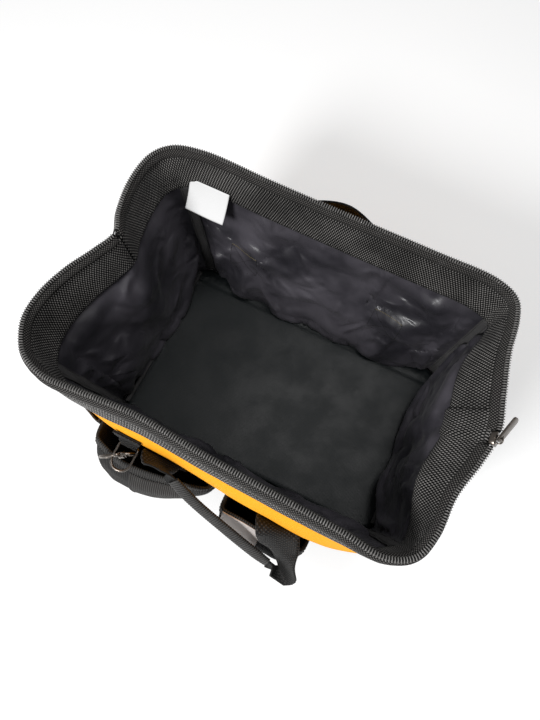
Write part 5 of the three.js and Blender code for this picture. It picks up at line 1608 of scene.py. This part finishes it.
@dataclass
class Handles(SubAssembly):
    """The two webbing carry handles."""

    webbing: float = 46 * MM
    thickness: float = 2.2 * MM
    grip_width: float = 19 * MM
    grip_thickness: float = 5 * MM
    stand_off: float = 1.2 * MM
    front_legs: tuple[float, float] = (-69 * MM, 68 * MM)
    back_legs: tuple[float, float] = (-105 * MM, 85 * MM)
    front_top: float = 166 * MM
    back_top: float = 178 * MM

    # Share of the way between the legs, out, up, width, and three parts of the direction across
    front_loop = (
        (0.03, 0.12, 0.20, 0.88, 1.00, 0.00, -0.10), (0.08, 0.24, 0.34, 0.62, 0.70, -0.30, -0.64),
        (0.16, 0.36, 0.26, 0.41, 0.00, -0.50, -0.87), (0.36, 0.62, -0.22, 0.41, 0.00, -0.50, -0.87),
        (0.64, 0.84, -0.62, 0.41, 0.00, -0.50, -0.87), (0.90, 1.02, -1.02, 0.41, 0.00, -0.50, -0.87),
        (1.06, 1.10, -1.22, 0.44, 0.00, -0.40, -0.92), (1.15, 1.08, -1.16, 0.70, -0.62, 0.10, -0.78),
        (1.16, 0.88, -0.80, 1.00, -0.85, 0.50, -0.15), (1.08, 0.56, -0.24, 1.00, -0.95, 0.31, 0.00),
        (1.03, 0.18, 0.10, 0.96, -1.00, 0.00, 0.00),
    )
    back_loop = (
        (0.03, 0.10, 0.28, 0.95, 1.00, 0.00, 0.00), (0.12, 0.20, 0.56, 0.78, 0.80, 0.00, -0.60),
        (0.28, 0.42, 0.82, 0.50, 0.40, 0.00, -0.92), (0.40, 0.85, 0.96, 0.42, 0.10, 0.00, -1.00),
        (0.54, 1.00, 1.00, 0.42, 0.00, 0.00, -1.00), (0.70, 0.60, 0.86, 0.46, -0.40, 0.00, -0.92),
        (0.86, 0.22, 0.58, 0.74, -0.80, 0.00, -0.60), (0.97, 0.10, 0.28, 0.95, -1.00, 0.00, 0.00),
    )

    def build(self) -> None:
        """Build every piece."""
        front, legs = self.rows(Side.FRONT, self.front_legs, 106 * MM, self.front_top, self.front_loop,
                                34 * MM, 30 * MM)
        first, last = legs + 2, legs + 6
        self.strap("front_strap_left", front, 0, first, "front_handle_left_leg")
        self.strap("front_strap_right", front, last, len(front) - 1, "front_handle_right_leg")
        self.grip(front, first, last)
        back, _ = self.rows(Side.BACK, self.back_legs, 8 * MM, self.back_top, self.back_loop, 23 * MM, 46 * MM)
        self.strap("back_strap", back, 0, len(back) - 1, "back_handle")
        self.leg_stitches()

    def leg(self, side: Side, x: float, low: float, high: float) -> list[StrapRow]:
        """Rows of a strap's leg up a wall."""
        levels = [self.shell.foot + (self.shell.rim - self.shell.foot) * share for share in PROFILE_HEIGHTS]
        heights = [low, *(z for z in levels if low + 1 * MM < z < high - 1 * MM), high]
        centres = [Vector((x, self.leg_y(side, x, z), z)) for z in heights]
        return [StrapRow(centre, Vector((1, 0, 0)), self.webbing) for centre in centres]

    def leg_y(self, side: Side, x: float, z: float) -> float:
        """How far back or front a leg lies so that it clears the wall across its whole width."""
        way = OUTWARD[side][1]
        shifts = [self.webbing / 2 * share for share in (-1, -0.5, 0, 0.5, 1)]
        reach = max(way * self.shell.line_y(side, x + shift, z, self.shell.face) for shift in shifts)
        return way * (reach + self.stand_off + self.thickness / 2)

    def rows(self, side: Side, legs: tuple[float, float], low: float, high: float,
             loop: Sequence[Sequence[float]], reach: float, rise: float) -> tuple[list[StrapRow], int]:
        """Whole line of a handle.

        Args:
            side: the wall that carries it.
            legs: x of its two legs.
            low: height of the legs' feet.
            high: height where the legs leave the wall.
            loop: rows of the free part.
            reach: how far the free part may stand out.
            rise: how far it may rise.

        Returns:
            The rows, and how many belong to the first leg.
        """
        left, right = (self.leg(side, x, low, high) for x in legs)
        start, end = left[-1].centre, right[-1].centre
        free = []
        for share, out, up, width, *across in loop:
            centre = start.lerp(end, share)
            centre += Vector((0, OUTWARD[side][1] * out * reach, up * rise))
            free.append(StrapRow(centre, Vector(across).normalized(), self.webbing * width))
        down = [StrapRow(row.centre, -row.across, row.width) for row in reversed(right)]
        return [*left, *free, *down], len(left)

    def line(self, rows: list[StrapRow], first: int, last: int, steps: int) -> StrapLine:
        """Smooth line through the rows.

        Returns:
            Centre, direction along, direction across and width at each step.
        """
        centres = [row.centre for row in rows]
        acrosses = [row.across for row in rows]
        widths = Track(range(len(rows)), [row.width for row in rows])
        made = []
        for step in range(steps + 1):
            place = first + (last - first) * step / steps
            centre = curve_point(centres, place, False)
            ahead = curve_point(centres, min(place + 0.02, len(rows) - 1), False)
            behind = curve_point(centres, max(place - 0.02, 0), False)
            along = (ahead - behind).normalized()
            across = curve_point(acrosses, place, False)
            across = (across - along * across.dot(along)).normalized()
            made.append((centre, along, across, widths.at(place)))
        return made

    def evened(self, line: StrapLine) -> tuple[Track, float]:
        """Turn shares of a line's length into step numbers."""
        reach = [0.0]
        for a, b in zip(line, line[1:]):
            reach.append(reach[-1] + (b[0] - a[0]).length)
        return Track([r / reach[-1] for r in reach], range(len(line))), reach[-1]

    def strap(self, name: str, rows: list[StrapRow], first: int, last: int, node: str) -> None:
        """A flat strap, cupped where it is squeezed narrow."""
        line = self.line(rows, first, last, (last - first) * 12)
        even, length = self.evened(line)

        def spot(u: float, v: float) -> Vector:
            """Place a share of the strap."""
            step = even.at(u)
            row = min(int(step), len(line) - 2)
            share = step - row
            centre = line[row][0].lerp(line[row + 1][0], share)
            across = line[row][2].lerp(line[row + 1][2], share).normalized()
            along = line[row][1].lerp(line[row + 1][1], share).normalized()
            width = line[row][3] + (line[row + 1][3] - line[row][3]) * share
            squeeze = 1 - width / self.webbing
            side = (v - 0.5) * 2
            cup = squeeze * 6 * MM * (abs(side) ** 1.5 - 0.4)
            ripple = 0.35 * MM * noise.noise(centre * 55 + Vector((side, 0, 0)))
            return centre + across * (side * width / 2) + across.cross(along) * (cup + ripple)

        piece = lay_sheet(name, (max(12, round(length / (3 * MM))), 14), (length, self.webbing), spot)
        thicken(piece, self.thickness * 0.85, 0)
        self.dress(piece, STRAP_WEBBING, node)

    def grip(self, rows: list[StrapRow], first: int, last: int) -> None:
        """The folded, ribbed grip of the front handle."""
        line = self.line(rows, first, last, (last - first) * 30)
        even, length = self.evened(line)
        girth = 2 * (self.grip_width + self.grip_thickness) * 0.9

        def spot(u: float, v: float) -> Vector:
            """Place a share of the grip."""
            step = even.at(u)
            row = min(int(step), len(line) - 2)
            share = step - row
            centre = line[row][0].lerp(line[row + 1][0], share)
            across = line[row][2].lerp(line[row + 1][2], share).normalized()
            along = line[row][1].lerp(line[row + 1][1], share).normalized()
            through = across.cross(along)
            angle = 2 * math.pi * v
            flat = 1 / (abs(math.cos(angle)) ** 3 + abs(math.sin(angle)) ** 3) ** (1 / 3)
            rib = 0.22 * MM * math.sin(u * length / (2.6 * MM) * 2 * math.pi)
            half, deep = self.grip_width / 2 + rib, self.grip_thickness / 2 + rib
            sideways, inwards = math.cos(angle) * flat * half, math.sin(angle) * flat * deep
            return centre + across * sideways - through * inwards

        cells = (round(length / (0.9 * MM)), 22)
        piece = lay_sheet("front_strap_grip", cells, (length, girth), spot, seam=True)
        self.dress(piece, RIBBED_TAPE, "front_handle_grip")

    def leg_stitches(self) -> None:
        """Edge rows and crossed squares on the front handle's legs, and edge rows on the back one's."""
        rows = []
        edge = self.webbing / 2 - 3 * MM
        for side, legs, low, high in ((Side.FRONT, self.front_legs, 109 * MM, 160 * MM),
                                      (Side.BACK, self.back_legs, 11 * MM, 172 * MM)):
            way = OUTWARD[side][1]
            facing = Vector((0, way, 0))

            def stretch(a: tuple[float, float], b: tuple[float, float], x: float, side: Side = side,
                        way: float = way, facing: Vector = facing) -> Run:
                """A straight row on a leg, between two points of x shift and height."""
                run = []
                for step in range(25):
                    shift, z = (p + (q - p) * step / 24 for p, q in zip(a, b))
                    y = self.leg_y(side, x, z) + way * self.thickness * 0.45
                    run.append((Vector((x + shift, y, z)), facing))
                return run

            for x in legs:
                rows += [stretch((-edge, low), (-edge, high), x), stretch((edge, low), (edge, high), x)]
                box_top = low + 2 * edge if side is Side.FRONT else 150 * MM
                box_low = box_top - 2 * edge
                for ends in (((-edge, box_low), (edge, box_top)), ((edge, box_low), (-edge, box_top)),
                             ((-edge, box_low), (edge, box_low)), ((-edge, box_top), (edge, box_top))):
                    rows.append(stretch(*ends, x))
        self.stitch("strap_stitches", rows)


@dataclass
class RingAndHook(SubAssembly):
    """The webbing tab with its ring, the snap hook, and the zip slider with its pull."""

    tab_x: float = -109 * MM
    bar_z: float = 158 * MM
    top_width: float = 32 * MM
    ring_width: float = 16 * MM
    length: float = 26 * MM
    ply: float = 1.5 * MM
    bore: float = 2.4 * MM

    def build(self) -> None:
        """Build every piece."""
        self.tab()
        for node in ("zip_slider", "zip_pull", "d_ring", "hook_claw", "hook_gate", "hook_eye"):
            self.polish(node)

    def tab(self) -> None:
        """Folded tab with the ring's bar in its fold."""
        low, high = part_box("ring_tab")
        radius = self.bore + self.ply / 2
        bar_y = low.y + self.bore + self.ply
        half_top = self.top_width / 2

        def panel_y(z: float) -> float:
            """The tab's back face at a height."""
            places = [self.tab_x + way * half_top for way in (-1, 0, 1)]
            return min(self.shell.line_y(Side.FRONT, x, z, self.shell.face) for x in places) - 0.6 * MM

        steps = 12
        top = self.bar_z + self.length
        path = []
        for step in range(steps + 1):
            z = top + (self.bar_z + radius - top) * step / steps
            path.append((panel_y(z) - self.ply / 2, z))
        path = [(y + (bar_y + radius - y) * ease(0.6, 1.0, i / steps), z) for i, (y, z) in enumerate(path)]
        for step in range(1, 12):
            angle = math.pi * step / 12
            path.append((bar_y + radius * math.cos(angle), self.bar_z - radius * math.sin(angle)))
        back = [(y - self.ply * 1.15, z) for y, z in reversed(path[: steps + 1])]
        near_bar = self.bar_z + 9 * MM
        path += [(min(y, bar_y - radius * (1 - ease(self.bar_z, near_bar, z))) if z < near_bar else y, z)
                 for y, z in back]
        y_at, z_at, length = fold_tracks([y for y, _ in path], [z for _, z in path])

        def spot(u: float, v: float) -> Vector:
            """Place a share of the tab's webbing."""
            z = z_at.at(u)
            width = self.ring_width + (self.top_width - self.ring_width) * ease(self.bar_z - 4 * MM, top, z)
            return Vector((self.tab_x - (v - 0.5) * width, y_at.at(u), z))

        piece = lay_sheet("ring_loop", (60, 12), (length, self.top_width), spot)
        thicken(piece, self.ply * 0.85, 0)
        self.dress(piece, STRAP_WEBBING, "ring_tab")

    def polish(self, node: str) -> None:
        """Round a metal node's edges and give it its plating."""
        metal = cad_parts[node]
        weld = metal.modifiers.new("weld", "WELD")
        weld.merge_threshold = 0.02 * MM
        if node == "d_ring":
            soft = metal.modifiers.new("soften", "SUBSURF")
            soft.levels = soft.render_levels = 2
        else:
            bevel = metal.modifiers.new("edges", "BEVEL")
            bevel.width, bevel.segments, bevel.limit_method = 0.28 * MM, 2, "ANGLE"
            bevel.angle_limit = math.radians(35)
        metal.data.materials.clear()
        metal.data.materials.append(finish_of(GUNMETAL))
        for polygon in metal.data.polygons:
            polygon.use_smooth = True
        LOG.info("%s: %s", node, GUNMETAL.name)


# Studio


@dataclass(frozen=True)
class Studio:
    """Pale floor, soft lights and the photograph's camera."""

    azimuth: float = 24.63
    elevation: float = 74.61
    roll: float = 1.55
    distance: float = 0.5909
    target: tuple[float, float, float] = (-0.0174, -0.0021, 0.150)
    lens: float = 26.0

    def build(self) -> None:
        """Build the studio."""
        self.floor()
        self.lights()
        self.camera()

    def floor(self) -> None:
        """A wide plain floor just under the bag."""
        shape = bmesh.new()
        bmesh.ops.create_grid(shape, x_segments=4, y_segments=4, size=6.0)
        bmesh.ops.translate(shape, verts=shape.verts, vec=(0, 0, -0.0002))
        floor = object_from("studio_floor", shape)
        graph = Graph("studio_floor")
        tone = graph.blend(graph.noise(3.0, 2.0), (0.90, 0.90, 0.90), (0.93, 0.93, 0.93))
        glow = {"Emission Color": (1.0, 1.0, 1.0), "Emission Strength": 0.24}
        floor.data.materials.append(graph.close({"Base Color": tone, "Roughness": 0.9, **glow}))

    def lights(self) -> None:
        """A bright surround, a soft key light from the front and a weaker one overhead."""
        world = bpy.data.worlds.new("studio")
        bpy.context.scene.world = world
        world.use_nodes = True
        world.node_tree.nodes["Background"].inputs["Color"].default_value = (1, 1, 1, 1)
        world.node_tree.nodes["Background"].inputs["Strength"].default_value = 0.36
        for name, place, size, power in (
            ("key", (-0.45, -1.15, 1.2), 0.5, 22.0),
            ("top", (0.1, 0.3, 1.7), 0.5, 6.5),
        ):
            data = bpy.data.lights.new(name, "AREA")
            data.shape, data.size, data.energy = "DISK", size, power
            lamp = bpy.data.objects.new(name, data)
            bpy.context.scene.collection.objects.link(lamp)
            lamp.location = place
            lamp.rotation_mode = "QUATERNION"
            lamp.rotation_quaternion = (Vector((0, 0, 0.12)) - Vector(place)).to_track_quat("-Z", "Y")

    def camera(self) -> None:
        """The camera at the photograph's viewing angle."""
        a, e, r = (math.radians(angle) for angle in (self.azimuth, self.elevation, self.roll))
        back = Vector((math.sin(a) * math.cos(e), -math.cos(a) * math.cos(e), math.sin(e)))
        right = (-back).cross(Vector((0, 0, 1))).normalized()
        up = right.cross(-back)
        turned_right = right * math.cos(r) + up * math.sin(r)
        turned_up = up * math.cos(r) - right * math.sin(r)
        data = bpy.data.cameras.new("camera")
        data.lens, data.sensor_width = self.lens, 36.0
        camera = bpy.data.objects.new("camera", data)
        bpy.context.scene.collection.objects.link(camera)
        turn = Matrix((turned_right, turned_up, back)).transposed().to_4x4()
        camera.matrix_world = Matrix.Translation(Vector(self.target) + back * self.distance) @ turn
        bpy.context.scene.camera = camera
        bpy.context.scene.view_settings.view_transform = "Standard"


def main() -> None:
    """Build the whole scene in order."""
    logging.basicConfig(level=logging.INFO, format="%(message)s")
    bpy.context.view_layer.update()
    Studio().build()
    shell = Shell()
    for part in (CanvasShell, Lining, PaddedFloor, Mouth, FrontPockets, Handles, RingAndHook):
        part(shell).build()


if __name__ == "__main__":
    main()
